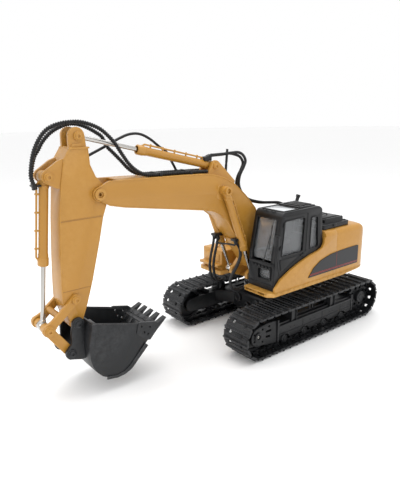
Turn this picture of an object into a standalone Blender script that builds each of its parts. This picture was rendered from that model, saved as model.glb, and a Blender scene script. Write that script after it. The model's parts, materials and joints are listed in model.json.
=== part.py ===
"""A hobby-size tracked excavator, built piece by piece.

All dimensions below are in millimetres in the machine's own frame:
X forward, Y to the machine's left, Z up, the turning axis of the house at
X = 0, Y = 0 and the ground at Z = 0.  add() turns them into metres and moves
everything by SHIFT_X, so the finished object is centred on its own footprint.
"""
import math

import bmesh
import bpy
from mathutils import Matrix, Vector

# ---------------------------------------------------------------- dimensions
MM = 0.001
SHIFT_X = -112.8
GAP = 0.3

# running gear
WHEEL_X = 111.7
WHEEL_Z = 30.0
TRACK_OUT = 95.0
TRACK_IN = 49.4
BELT_INNER_R = 24.0
SHOE_R = 28.0
GROUSER_R = 30.0
SHOE_COUNT = 46
WHEEL_R = BELT_INNER_R - 0.7
TOOTH_COUNT = 16
WHEEL_Y0 = 66.0
WHEEL_Y1 = 79.0
ROLLER_R = 5.6
ROLLER_Z = WHEEL_Z - BELT_INNER_R + ROLLER_R + 0.4
ROLLER_X = (60.0, 19.0, -23.0, -64.0)
FRAME_Y0 = 58.0
FRAME_Y1 = 86.0
BEAM_END = WHEEL_X - 27.7

# turning ring
RING_TEETH = 40
PINION_TEETH = 10
RING_PITCH_R = 36.0
PINION_PITCH_R = RING_PITCH_R * PINION_TEETH / RING_TEETH
PINION_X = -(RING_PITCH_R + PINION_PITCH_R)
RING_Z0 = 60.3
RING_Z1 = 68.0

# house
DECK_Z0 = 76.5
DECK_Z1 = 82.0
HOUSE_HALF = 83.5
HOUSE_FRONT = 89.0
HOUSE_REAR = -122.0
HOUSE_TOP = 149.0
SEAM_X = -46.0
FLANK_ROLL = 9.0
REAR_ROLL = 22.0
WALL = 2.4
WING_SKIN = 3.4
CAB_PLAY = 0.6
CAB_Y0 = 31.0
CAB_Y1 = HOUSE_HALF - WING_SKIN - CAB_PLAY
CAB_TOP = 187.0

# arm pins, as (x, z)
P_FOOT = (46.0, 100.0)
P_LIFT_ROD = (64.0, 88.0)
P_LIFT_HEAD = (114.0, 215.0)
P_STICK_HEAD = (119.0, 246.0)
P_ELBOW = (288.0, 229.5)
P_STICK_ROD = (306.0, 292.5)
P_CURL_HEAD = (342.0, 252.8)
P_ROCKER = (326.6, 116.9)
P_BUCKET = (326.0, 87.4)
P_CURL_ROD = (360.3, 89.1)
P_LINK = (336.5, 54.3)

BOOM_HALF = 17.5
BOOM_FOOT_HALF = 13.3
STICK_HALF = 13.4
LIFT_Y = 23.8
BARREL_R = 5.0
BORE_R = 4.3
ROD_R = 2.1
GLAND_BORE_R = 3.9
PIN_R = 2.6
PIN_HOLE_R = PIN_R + GAP
PLAY = 1.5
CLIP_COUNT = 3
BUCKET_HALF = 33.0
TOOTH_GAP_Y = 14.4

# ----------------------------------------------------------------- materials
PAINT = {
    "yellow_plastic": ((0.70, 0.40, 0.085), 0.0, 0.42),
    "black_plastic": ((0.020, 0.021, 0.023), 0.0, 0.48),
    "track_plastic": ((0.030, 0.032, 0.036), 0.0, 0.55),
    "bucket_metal": ((0.050, 0.052, 0.055), 0.3, 0.45),
    "bright_rod": ((0.75, 0.74, 0.72), 1.0, 0.22),
    "smoky_window": ((0.30, 0.32, 0.33), 0.0, 0.08),
    "grey_metal": ((0.35, 0.35, 0.36), 0.8, 0.40),
    "green_board": ((0.02, 0.16, 0.06), 0.0, 0.50),
    "blue_wrap": ((0.03, 0.09, 0.35), 0.0, 0.40),
}
MATERIALS = {}
ROUND_ANGLE = 35.0


def material(name):
    """Make each paint once and hand the same one back afterwards."""
    if name not in MATERIALS:
        rgb, metal, rough = PAINT[name]
        mat = bpy.data.materials.new(name)
        mat.use_nodes = True
        shader = mat.node_tree.nodes["Principled BSDF"]
        shader.inputs["Base Color"].default_value = (*rgb, 1.0)
        shader.inputs["Metallic"].default_value = metal
        shader.inputs["Roughness"].default_value = rough
        mat.diffuse_color = (*rgb, 1.0)
        MATERIALS[name] = mat
    return MATERIALS[name]


# ------------------------------------------------------------- small helpers
ALONG = {
    "z": Matrix(((1, 0, 0, 0), (0, 1, 0, 0), (0, 0, 1, 0), (0, 0, 0, 1))),
    "y": Matrix(((1, 0, 0, 0), (0, 0, -1, 0), (0, 1, 0, 0), (0, 0, 0, 1))),
    "x": Matrix(((0, 0, 1, 0), (1, 0, 0, 0), (0, 1, 0, 0), (0, 0, 0, 1))),
}


def baked(obj, flat_caps=False):
    """The evaluated mesh of an object as a welded mesh with its faces outwards; the object goes."""
    bpy.context.scene.collection.objects.link(obj)
    graph = bpy.context.evaluated_depsgraph_get()
    mesh = bpy.data.meshes.new_from_object(obj.evaluated_get(graph), depsgraph=graph)
    bpy.data.objects.remove(obj)
    bm = bmesh.new()
    bm.from_mesh(mesh)
    bmesh.ops.remove_doubles(bm, verts=list(bm.verts), dist=0.002)
    if flat_caps:
        caps = {face for face in bm.faces if abs(face.normal.z) > 0.5 or face.calc_area() < 1e-6}
        inside = [edge for edge in bm.edges if all(face in caps for face in edge.link_faces)]
        caps = [face for face in bm.faces if face in caps]
        bmesh.ops.beautify_fill(bm, faces=caps, edges=inside)
    bmesh.ops.recalc_face_normals(bm, faces=list(bm.faces))
    bm.to_mesh(mesh)
    bm.free()
    return mesh


def prism(loops, lo, hi, axis):
    """A flat outline (first loop) with holes (other loops), given thickness along an axis.

    axis 'y' takes (x, z) points, 'z' takes (x, y) points, 'x' takes (y, z) points.
    """
    curve = bpy.data.curves.new("outline", "CURVE")
    curve.dimensions = "2D"
    curve.fill_mode = "BOTH"
    curve.extrude = abs(hi - lo) / 2
    for loop in loops:
        spline = curve.splines.new("POLY")
        spline.points.add(len(loop) - 1)
        spline.use_cyclic_u = True
        for point, place in zip(spline.points, loop):
            point.co = (place[0], place[1], 0.0, 1.0)
    mesh = baked(bpy.data.objects.new("outline", curve), flat_caps=True)
    shift = {"x": ((lo + hi) / 2, 0, 0), "y": (0, (lo + hi) / 2, 0), "z": (0, 0, (lo + hi) / 2)}[axis]
    mesh.transform(Matrix.Translation(shift) @ ALONG[axis])
    return mesh


def as_mesh(bm):
    """Hand a bmesh over as a plain mesh."""
    mesh = bpy.data.meshes.new("work")
    bm.to_mesh(mesh)
    bm.free()
    return mesh


def circle(x, z, r, n=20, start=0.0):
    """Points of a circle, in order."""
    step = 2 * math.pi / n
    return [(x + r * math.cos(start + i * step), z + r * math.sin(start + i * step)) for i in range(n)]


def arc(x, z, r, a0, a1, n):
    """Points of an arc in degrees, both ends included."""
    out = []
    for i in range(n + 1):
        a = math.radians(a0 + (a1 - a0) * i / n)
        out.append((x + r * math.cos(a), z + r * math.sin(a)))
    return out


def rounded(points, radii, n=4):
    """A polygon with its corners rounded; one radius for each corner (0 leaves it sharp)."""
    out = []
    count = len(points)
    for i, p in enumerate(points):
        r = radii[i] if isinstance(radii, (list, tuple)) else radii
        a = Vector(points[i - 1]) - Vector(p)
        b = Vector(points[(i + 1) % count]) - Vector(p)
        if r <= 0:
            out.append(tuple(p))
            continue
        half = a.angle(b) / 2
        cut = min(r / math.tan(half), a.length * 0.49, b.length * 0.49)
        start = Vector(p) + a.normalized() * cut
        end = Vector(p) + b.normalized() * cut
        for k in range(n + 1):
            t = k / n
            q = start * (1 - t) ** 2 + Vector(p) * 2 * t * (1 - t) + end * t ** 2
            out.append((q.x, q.y))
    return out


def box(x0, x1, y0, y1, z0, z1):
    """A box between two corners."""
    bm = bmesh.new()
    size = Matrix.Diagonal((x1 - x0, y1 - y0, z1 - z0, 1.0))
    middle = Matrix.Translation(((x0 + x1) / 2, (y0 + y1) / 2, (z0 + z1) / 2))
    bmesh.ops.create_cube(bm, size=1.0, matrix=middle @ size)
    return as_mesh(bm)


def cylinder(r, length, n):
    """A cylinder standing on the origin along Z."""
    bm = bmesh.new()
    bmesh.ops.create_cone(bm, cap_ends=True, segments=n, radius1=r, radius2=r, depth=length,
                          matrix=Matrix.Translation((0, 0, length / 2)))
    return as_mesh(bm)


def rod_y(p, r, y0, y1, n=16):
    """A cylinder along Y through the point (x, z)."""
    mesh = cylinder(r, y1 - y0, n)
    mesh.transform(Matrix.Translation((p[0], y1, p[1])) @ ALONG["y"] @ Matrix.Rotation(-math.pi / 2, 4,
                                                                                       "Z"))
    return mesh


def rod_z(x, y, r, z0, z1, n=24):
    """An upright cylinder at (x, y)."""
    mesh = cylinder(r, z1 - z0, n)
    mesh.transform(Matrix.Translation((x, y, z0)))
    return mesh


def turned(profile, n=24):
    """A ring or a knob turned about the local Z axis from (radius, height) points."""
    points = list(profile)
    ring = all(r > 1e-6 for r, _ in points)
    edges = [(i, i + 1) for i in range(len(points) - 1)]
    if ring:
        edges.append((len(points) - 1, 0))
    mesh = bpy.data.meshes.new("profile")
    mesh.from_pydata([(r, 0.0, h) for r, h in points], edges, [])
    obj = bpy.data.objects.new("profile", mesh)
    screw = obj.modifiers.new("turn", "SCREW")
    screw.steps = n
    screw.render_steps = n
    screw.use_merge_vertices = True
    screw.merge_threshold = 0.0001
    return baked(obj)


def along(mesh, start, end):
    """Stand a turned mesh on the line from start to end; local Z follows the line."""
    direction = Vector(end) - Vector(start)
    turn = direction.to_track_quat("Z", "Y").to_matrix().to_4x4()
    mesh.transform(Matrix.Translation(Vector(start)) @ turn)
    return mesh


def bar(start, end, r, n=12):
    """A plain round bar between two points."""
    length = (Vector(end) - Vector(start)).length
    return along(cylinder(r, length, n), start, end)


def boolean(base, tool, operation):
    """One exact boolean on two meshes; the helper objects are removed again."""
    scene = bpy.context.scene
    a = bpy.data.objects.new("work_a", base)
    b = bpy.data.objects.new("work_b", tool)
    scene.collection.objects.link(a)
    scene.collection.objects.link(b)
    mod = a.modifiers.new("cut", "BOOLEAN")
    mod.solver = "EXACT"
    mod.operation = operation
    mod.object = b
    graph = bpy.context.evaluated_depsgraph_get()
    out = bpy.data.meshes.new_from_object(a.evaluated_get(graph), depsgraph=graph)
    bpy.data.objects.remove(a)
    bpy.data.objects.remove(b)
    return out


def join(first, *others):
    """Several bodies made one."""
    for other in others:
        first = boolean(first, other, "UNION")
    return first


def cut(first, *others):
    """Material taken away from a body."""
    for other in others:
        first = boolean(first, other, "DIFFERENCE")
    return first


def mirrored(mesh):
    """The same mesh for the other side of the machine."""
    out = mesh.copy()
    out.transform(Matrix.Scale(-1, 4, Vector((0, 1, 0))))
    out.flip_normals()
    return out


def excavator_collection():
    """The collection that holds the finished pieces."""
    found = bpy.data.collections.get("rc_excavator")
    if found is None:
        found = bpy.data.collections.new("rc_excavator")
        bpy.context.scene.collection.children.link(found)
    return found


def add(name, mesh, paint, pivot=(0.0, 0.0, 0.0)):
    """Put a finished mesh into the collection with its origin on its pivot."""
    bm = bmesh.new()
    bm.from_mesh(mesh)
    bmesh.ops.remove_doubles(bm, verts=list(bm.verts), dist=0.01)
    bmesh.ops.transform(bm, matrix=Matrix.Scale(MM, 4) @ Matrix.Translation(-Vector(pivot)),
                        verts=list(bm.verts))
    bm.normal_update()
    out = bpy.data.meshes.new(name)
    bm.to_mesh(out)
    bm.free()
    out.shade_smooth()
    out.set_sharp_from_angle(angle=math.radians(ROUND_ANGLE))
    out.materials.append(material(paint))
    obj = bpy.data.objects.new(name, out)
    obj.location = Vector((pivot[0] + SHIFT_X, pivot[1], pivot[2])) * MM
    excavator_collection().objects.link(obj)
    return obj


def both_sides(name, mesh, paint, pivot):
    """A left piece and its mirror image on the right."""
    add(name + "_left", mesh, paint, pivot)
    add(name + "_right", mirrored(mesh), paint, (pivot[0], -pivot[1], pivot[2]))


# --------------------------------------------------------------- running gear
def belt_point(s, radius):
    """A point of the belt loop at distance s along it and at a radius from the wheels."""
    straight = 2 * WHEEL_X
    turn = math.pi * (SHOE_R - 2.0)
    s = s % (2 * straight + 2 * turn)
    if s < straight:
        return (-WHEEL_X + s, WHEEL_Z + radius)
    s -= straight
    if s < turn:
        a = math.pi / 2 - math.pi * s / turn
        return (WHEEL_X + radius * math.cos(a), WHEEL_Z + radius * math.sin(a))
    s -= turn
    if s < straight:
        return (WHEEL_X - s, WHEEL_Z - radius)
    s -= straight
    a = -math.pi / 2 - math.pi * s / turn
    return (-WHEEL_X + radius * math.cos(a), WHEEL_Z + radius * math.sin(a))


def build_belts():
    length = 4 * WHEEL_X + 2 * math.pi * (SHOE_R - 2.0)
    pitch = length / SHOE_COUNT
    outline = []
    for i in range(SHOE_COUNT):
        for part, radius in ((0.0, 26.6), (0.10, SHOE_R), (0.42, SHOE_R), (0.48, GROUSER_R),
                             (0.62, GROUSER_R),
                             (0.68, SHOE_R), (0.90, SHOE_R)):
            outline.append(belt_point((i + part) * pitch, radius))
    inner = arc(WHEEL_X, WHEEL_Z, BELT_INNER_R, 90, -90, 18) + arc(-WHEEL_X, WHEEL_Z, BELT_INNER_R, 270,
                                                                   90, 18)
    belt = prism([outline, inner], TRACK_IN, TRACK_OUT, "y")
    both_sides("track_belt", belt, "track_plastic", (0.0, (TRACK_IN + TRACK_OUT) / 2, WHEEL_Z))


def build_wheels():
    # drive wheel: toothed disc with a ring of lightening holes
    tooth = 2 * math.pi / TOOTH_COUNT
    outline = []
    for i in range(TOOTH_COUNT):
        for part, radius in ((-0.34, 20.4), (-0.14, WHEEL_R), (0.14, WHEEL_R), (0.34, 20.4)):
            a = (i + part) * tooth
            outline.append((-WHEEL_X + radius * math.cos(a), WHEEL_Z + radius * math.sin(a)))
    holes = [circle(-WHEEL_X, WHEEL_Z, 4.0, 14)]
    for i in range(8):
        a = (i + 0.5) * math.pi / 4
        holes.append(circle(-WHEEL_X + 14.0 * math.cos(a), WHEEL_Z + 14.0 * math.sin(a), 2.9, 8))
    disc = prism([outline] + holes, WHEEL_Y0, WHEEL_Y1, "y")
    hub = prism([circle(-WHEEL_X, WHEEL_Z, 9.0, 24), circle(-WHEEL_X, WHEEL_Z, 4.0, 14)], WHEEL_Y1 - 1,
                84.5, "y")
    wheel = join(disc, hub)
    both_sides("drive_sprocket", wheel, "track_plastic", (-WHEEL_X, 72.5, WHEEL_Z))

    # front idler: broad rim on a thin web
    profile = [(3.5, -10.5), (8.5, -10.5), (8.5, -3.0), (19.0, -3.0), (19.0, -6.5), (WHEEL_R, -6.5),
               (WHEEL_R, 6.5), (19.0, 6.5), (19.0, 3.0), (8.5, 3.0), (8.5, 10.5), (3.5, 10.5)]
    idler = along(turned(profile, 24), (WHEEL_X, 71.5, WHEEL_Z), (WHEEL_X, 72.5, WHEEL_Z))
    both_sides("front_idler", idler, "track_plastic", (WHEEL_X, 71.5, WHEEL_Z))

    # road rollers: two flanges on a thin neck
    for i, x in enumerate(ROLLER_X):
        profile = [(0, -13.5), (4.6, -13.5), (ROLLER_R, -12.5), (ROLLER_R, -3.4), (2.0, -3.4), (2.0, 3.4),
                   (ROLLER_R, 3.4), (ROLLER_R, 12.5), (4.6, 13.5), (0, 13.5)]
        roller = along(turned(profile, 12), (x, 71.5, ROLLER_Z), (x, 72.5, ROLLER_Z))
        both_sides("road_roller_%d" % (i + 1), roller, "track_plastic", (x, 71.5, ROLLER_Z))


def build_track_frames():
    # the long beam between the wheels
    frame = box(-BEAM_END, BEAM_END, 60.0, 84.0, 20.5, 37.0)
    # outer side plate, arched over every roller, with a nose around the idler
    lower = [(-BEAM_END - 2.0, 15.0)]
    for x in reversed(ROLLER_X):
        lower += arc(x, ROLLER_Z, 7.4 if abs(x) < 50 else 7.7, 168, 12, 4)
    outer = lower + [(BEAM_END - 2, 13.0), (BEAM_END + 12, 15.0)] + arc(WHEEL_X, WHEEL_Z, 13.0, -95, 95, 8)
    outer += [(BEAM_END + 12, 45.0), (BEAM_END - 6, 44.0), (BEAM_END - 14, 34.0), (-BEAM_END - 2.0, 34.0)]
    e = BEAM_END
    slots = [rounded([(e + 6, 24.0), (e + 14, 25.0), (e + 14, 28.0), (e + 6, 27.0)], 1.0, 2),
             rounded([(e + 4, 32.0), (e + 14, 32.0), (e + 14, 35.0), (e + 4, 35.0)], 1.0, 2),
             circle(e + 8, 40.0, 1.8, 10), circle(e + 20, 38.8, 1.6, 10), circle(e + 20, 21.2, 1.6, 10),
             circle(e + 34.6, 25.0, 1.6, 10), circle(e + 34.6, 35.0, 1.6, 10)]
    frame = join(frame, prism([outer] + slots, 83.4, FRAME_Y1, "y"))
    # inner plate: carries the idler in front and the gear case behind
    inner = [(-e - 16, 19.0), (e + 12, 19.0)] + arc(WHEEL_X, WHEEL_Z, 10.0, -90, 90, 8)
    inner += [(e + 12, 41.0), (-e - 16, 41.0)]
    frame = join(frame, prism([inner], FRAME_Y0, 60.6, "y"))
    # idler axle between the plates, rib plates and carrier posts
    frame = join(frame, rod_y((WHEEL_X, WHEEL_Z), 3.0, 59.0, 85.0, 12))
    frame = join(frame, box(e - 9, e - 6.5, 61.0, 88.0, 12.0, 44.6))
    frame = join(frame, box(-e - 3.5, -e - 1, 61.0, 87.0, 14.0, 40.0))
    for x in (44.0, -39.0):
        post = prism([[(x - 5.0, 36.0), (x + 5.0, 36.0), (x + 3.4, 53.4), (x - 3.4, 53.4)]], 64.0, 85.6,
                     "y")
        frame = join(frame, post)
    for x in ROLLER_X:
        hanger = prism([[(x - 4.2, 21.0), (x - 4.2, ROLLER_Z)] + arc(x, ROLLER_Z, 4.2, 180, 360,
                                                                     4) + [(x + 4.2, 21.0)],
                        circle(x, ROLLER_Z, 2.5, 10)], 68.9, 74.1, "y")
        frame = join(frame, hanger)
    both_sides("track_frame", frame, "black_plastic", (0.0, 72.0, WHEEL_Z))

    # gear case and axle stub that carry each drive wheel
    case = join(rod_y((-WHEEL_X, WHEEL_Z), 15.5, 50.5, 57.6, 28),
                rod_y((-WHEEL_X, WHEEL_Z), 11.0, 57.0, 64.8, 24),
                rod_y((-WHEEL_X, WHEEL_Z), 3.6, 60.0, 85.6, 12),
                box(-BEAM_END - 14, -BEAM_END + 12, 50.5, 57.6, 21.0, 39.0))
    both_sides("drive_gear_case", case, "black_plastic", (-WHEEL_X, 57.0, WHEEL_Z))


def build_carbody():
    body = prism([rounded([(-50, -34), (50, -34), (50, 34), (-50, 34)], 6, 3)], 24.0, 50.0, "z")
    body = join(body, rod_z(0, 0, 42.0, 49.0, 60.0, 40))
    for sx in (1, -1):
        for sy in (1, -1):
            leg = [(sx * 16, sy * 28), (sx * 46, sy * 28), (sx * 66, sy * 57.7), (sx * 40, sy * 57.7)]
            if sx * sy < 0:
                leg.reverse()
            body = join(body, prism([leg], 26.0, 44.0, "z"))
    for sy in (-1, 1):
        for sx in (-1, 1):
            body = join(body, bar((sx * 48, sy * 20, 40), (sx * 53, sy * 20, 40), 6.5, 20))
    body = join(body, bar((48, 0, 32), (52, 0, 32), 5.0, 20))
    body = cut(body, rod_z(0, 0, 6.0, 20.0, 70.0, 20))
    add("carbody", body, "black_plastic", (0, 0, 40))

    # fixed ring gear under the house
    outline = []
    tooth = 2 * math.pi / RING_TEETH
    for i in range(RING_TEETH):
        for part, radius in ((-0.27, RING_PITCH_R - 1.4), (-0.12, RING_PITCH_R + 0.9),
                             (0.12, RING_PITCH_R + 0.9), (0.27, RING_PITCH_R - 1.4)):
            a = (i + part) * tooth
            outline.append((radius * math.cos(a), radius * math.sin(a)))
    ring = prism([outline, circle(0, 0, 25.0, 32)], RING_Z0, RING_Z1, "z")
    add("swing_ring_gear", ring, "grey_metal", (0, 0, RING_Z0))

    # pinion under the house, its shaft reaching up into the motor
    outline = []
    tooth = 2 * math.pi / PINION_TEETH
    for i in range(PINION_TEETH):
        for part, radius in ((-0.27, PINION_PITCH_R - 1.5), (-0.10, PINION_PITCH_R + 0.8),
                             (0.10, PINION_PITCH_R + 0.8), (0.27, PINION_PITCH_R - 1.5)):
            a = (i + 0.5 + part) * tooth
            outline.append((PINION_X + radius * math.cos(a), radius * math.sin(a)))
    pinion = join(prism([outline], RING_Z0 + 0.4, RING_Z1 - 0.6, "z"),
                  rod_z(PINION_X, 0, 2.0, RING_Z1 - 1, 90.0, 16))
    add("swing_pinion", pinion, "grey_metal", (PINION_X, 0, RING_Z0))
    motor = join(rod_z(PINION_X, 0, 11.0, DECK_Z1 + GAP, 116.0, 28),
                 rod_z(PINION_X, 0, 6.0, 115.0, 120.0, 20))
    motor = cut(motor, rod_z(PINION_X, 0, 2.6, DECK_Z1 - 2, 92.0, 16))
    add("swing_motor", motor, "grey_metal", (PINION_X, 0, DECK_Z1))


# --------------------------------------------------------------------- house
def build_deck():
    outline = [(HOUSE_REAR, -HOUSE_HALF), (76, -HOUSE_HALF), (76, -33), (52, -33), (52, 33),
               (HOUSE_FRONT, 33),
               (HOUSE_FRONT, HOUSE_HALF - 7), (HOUSE_FRONT - 8, HOUSE_HALF), (HOUSE_REAR, HOUSE_HALF)]
    deck = prism([rounded(outline, [24, 6, 3, 2, 2, 3, 6, 6, 24], 5)], DECK_Z0, DECK_Z1, "z")
    # turning post inside the ring gear, and a shaft hole for the pinion
    deck = join(deck, rod_z(0, 0, 23.5, 60.6, 77.0, 32))
    deck = cut(deck, rod_z(PINION_X, 0, 3.0, 60, 90, 16))
    # the underside rises a little towards the tail
    deck = cut(deck, prism([[(-62.0, DECK_Z0 - 0.01), (HOUSE_REAR - 3, DECK_Z0 - 5),
                             (HOUSE_REAR - 3, DECK_Z0 + 4.2)]],
                           -HOUSE_HALF - 5, HOUSE_HALF + 5, "y"))
    # two slots in the front skirt below the cab
    for y in (38.0, HOUSE_HALF - 23.5):
        deck = cut(deck, box(HOUSE_FRONT - 3, HOUSE_FRONT + 2, y, y + 12, 78.6, 80.4))
    # lugs for the boom foot and the lift rods
    lug = [(26.0, 78.0), (56.0, 78.0), (70.0, 83.0)] + arc(P_LIFT_ROD[0], P_LIFT_ROD[1], 6.0, -20, 80, 5)
    lug += arc(P_FOOT[0], P_FOOT[1], 10.0, 30, 170, 7)
    hole = circle(P_FOOT[0], P_FOOT[1], 3.0 + GAP, 14)
    for sy in (1, -1):
        y0, y1 = sorted((sy * 13.9, sy * 19.2))
        deck = join(deck, prism([lug, hole], y0, y1, "y"))
        y0, y1 = sorted((sy * 18.0, sy * 29.0))
        deck = join(deck, rod_y(P_LIFT_ROD, PIN_R, y0, y1, 12))
    add("house_deck", deck, "yellow_plastic", (0, 0, DECK_Z0))


def hollow_cover(x0, x1, y0, y1, top, open_side):
    """A plastic cover with rounded long edges, open below and on one end."""
    side = rounded([(y0, DECK_Z1 + GAP), (y0, top), (y1, top), (y1, DECK_Z1 + GAP)], [0, 9, 9, 0], 5)
    shell = prism([side], x0, x1, "x")
    inner = rounded([(y0 + WALL, DECK_Z1 - 2), (y0 + WALL, top - WALL), (y1 - WALL, top - WALL),
                     (y1 - WALL, DECK_Z1 - 2)], [0, 7, 7, 0], 5)
    a = x0 - 5 if open_side == "rear" else x0 + WALL
    return cut(shell, prism([inner], a, x1 - WALL, "x"))


def rolled_rim(start, end):
    """Everything inside one wall of the tail, its top edge rolled over; the radius grows to the rear."""
    run = Vector(end) - Vector(start)
    outward = Vector((run.y, -run.x)).normalized()
    reach = outward.dot(Vector(start)) + 0.01
    radius = FLANK_ROLL + (REAR_ROLL - FLANK_ROLL) * outward.x ** 2
    section = rounded([(-250, 70), (-250, HOUSE_TOP + 0.01), (reach, HOUSE_TOP + 0.01), (reach, 70)],
                      [0, 0, radius, 0], 6)
    mesh = prism([section], -250, 250, "y")
    mesh.transform(Matrix.Rotation(math.atan2(outward.y, outward.x), 4, "Z"))
    return mesh


def build_covers():
    # left cover behind the cab, with the sweeping wing that runs forward below the door
    left = hollow_cover(SEAM_X + GAP, -21.0, 24.0, HOUSE_HALF, HOUSE_TOP, "rear")
    wing = [(-30.0, DECK_Z1 + GAP), (80.5, DECK_Z1 + GAP), (80.5, 87.0), (69.6, 98.3), (50.7, 108.1),
            (31.2, 115.4),
            (11.0, 121.3), (-5.7, 124.6), (-13.5, 127.5), (-17.5, 133.0), (-18.5, 141.0), (-22.0, 141.0),
            (-30.0, 136.0)]
    left = join(left, prism([wing], HOUSE_HALF - WING_SKIN, HOUSE_HALF, "y"))
    add("body_cover_left", left, "yellow_plastic", (-30, 60, DECK_Z1))
    right = hollow_cover(SEAM_X + GAP, 22.0, -HOUSE_HALF, -24.0, HOUSE_TOP - 6, "rear")
    add("body_cover_right", right, "yellow_plastic", (-30, -60, DECK_Z1))

    # rear cover: the heavy tail, one hollow moulding across the machine
    plan = rounded([(HOUSE_REAR, -HOUSE_HALF), (SEAM_X, -HOUSE_HALF), (SEAM_X, HOUSE_HALF),
                    (HOUSE_REAR, HOUSE_HALF)],
                   [24, 0, 0, 24], 6)
    tail = prism([plan], DECK_Z1 + GAP, 160.0, "z")
    for start, end in zip(plan, plan[1:] + plan[:1]):
        if min(start[0], end[0]) < SEAM_X - 1:
            tail = boolean(tail, rolled_rim(start, end), "INTERSECT")
    hollow = prism([rounded([(HOUSE_REAR + 3, -HOUSE_HALF + 3), (SEAM_X + 5, -HOUSE_HALF + 3),
                             (SEAM_X + 5, HOUSE_HALF - 3), (HOUSE_REAR + 3, HOUSE_HALF - 3)],
                             [22, 0, 0, 22], 6)],
                   DECK_Z1 - 5, HOUSE_TOP - 12, "z")
    tail = cut(tail, hollow)
    add("tail_cover", tail, "yellow_plastic", (-90, 0, DECK_Z1))

    # black hood with ribs on top, and the front wall of the engine room
    hood = prism([rounded([(-82, 27.5 - HOUSE_HALF), (-23.5, 27.5 - HOUSE_HALF),
                           (-23.5, HOUSE_HALF - 7.5), (-82, HOUSE_HALF - 7.5)], 4, 3)], HOUSE_TOP + GAP,
                           156.0, "z")
    hood = join(hood, prism([rounded([(-76, -20), (-34, -20), (-34, HOUSE_HALF - 13.5),
                                      (-76, HOUSE_HALF - 13.5)], 3, 3)], 155.0, 161.5, "z"))
    for i in range(5):
        hood = join(hood, box(-72.0, -38.0, -12 + i * 9.0, -9 + i * 9.0, 161.0, 162.8))
    hood = join(hood, box(-70.0, -36.0, HOUSE_HALF - 43.5, HOUSE_HALF - 19.5, 161.0, 163.4))
    add("engine_hood", hood, "black_plastic", (-50, 0, HOUSE_TOP))
    wall = prism([rounded([(-20.5, DECK_Z1 + GAP), (20.5, DECK_Z1 + GAP), (20.5, HOUSE_TOP - GAP),
                           (-20.5, HOUSE_TOP - GAP)], 1.5, 2)], -26.0, -22.5, "x")
    add("engine_wall", wall, "black_plastic", (-24, 0, DECK_Z1))

    # dark curved panel on each flank
    panel = [(15.3, 89.1), (4.5, 101.4), (-9.9, 109.5), (-31.6, 114.6), (-54.4, 116.3), (-78.1, 117.0),
             (-97.0, 117.0), (-97.0, 89.5)]
    panel = prism([rounded(panel, [0.5, 4, 4, 4, 3, 3, 2, 2], 3)], HOUSE_HALF + 0.1, HOUSE_HALF + 0.9, "y")
    add("flank_panel_left", panel, "black_plastic", (-40, HOUSE_HALF, 100))
    panel = [(15.0, 89.5), (4.5, 101.4), (-9.9, 109.5), (-54.4, 116.3), (-97.0, 117.0), (-97.0, 89.5)]
    panel = prism([rounded(panel, [1, 4, 4, 4, 2, 2], 3)], -HOUSE_HALF - 0.9, -HOUSE_HALF - 0.1, "y")
    add("flank_panel_right", panel, "black_plastic", (-40, -HOUSE_HALF, 100))

    # tool box and step at the right front
    side = 3.5 - HOUSE_HALF
    chest = join(box(24.0, 70.0, side, -36.0, DECK_Z1 + GAP, 112.0),
                 box(69.0, 78.5, side, -36.0, 87.5, 91.5))
    chest = cut(chest, box(27.0, 67.0, side + 3.0, -39.0, DECK_Z1 - 3, 109.0))
    add("tool_chest", chest, "yellow_plastic", (45, -58, DECK_Z1))

    # battery and receiver board inside the tail
    y0, y1 = 43.5 - HOUSE_HALF, HOUSE_HALF - 53.5
    battery = prism([rounded([(-113, y0), (-83, y0), (-83, y1), (-113, y1)], 4, 3)], DECK_Z1 + GAP,
                    106.0, "z")
    add("battery_pack", battery, "blue_wrap", (-98, -5, DECK_Z1))
    y = HOUSE_HALF - 45.5
    board = join(box(-100.0, -60.0, y, y + 36, 86.0, 87.6), box(-90.0, -76.0, y + 10, y + 24, 87.4, 90.5))
    for px, py in ((-64, y + 4), (-96, y + 4), (-64, y + 32), (-94, y + 30)):
        board = join(board, rod_z(px, py, 1.8, DECK_Z1 + GAP, 86.4, 10))
    add("receiver_board", board, "green_board", (-80, 56, DECK_Z1))

    # exhaust stub leaning back on the hood
    stub = join(bar((-28.5, 18, 157.5), (-28.5, 18, 178), 2.6, 12),
                bar((-28.5, 18, 176), (-34, 18, 191), 2.6, 12))
    stub = join(stub, bar((-28.5, 18, 156.3), (-28.5, 18, 160), 3.6, 12))
    add("exhaust_stub", stub, "black_plastic", (-28, 18, 156))


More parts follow.
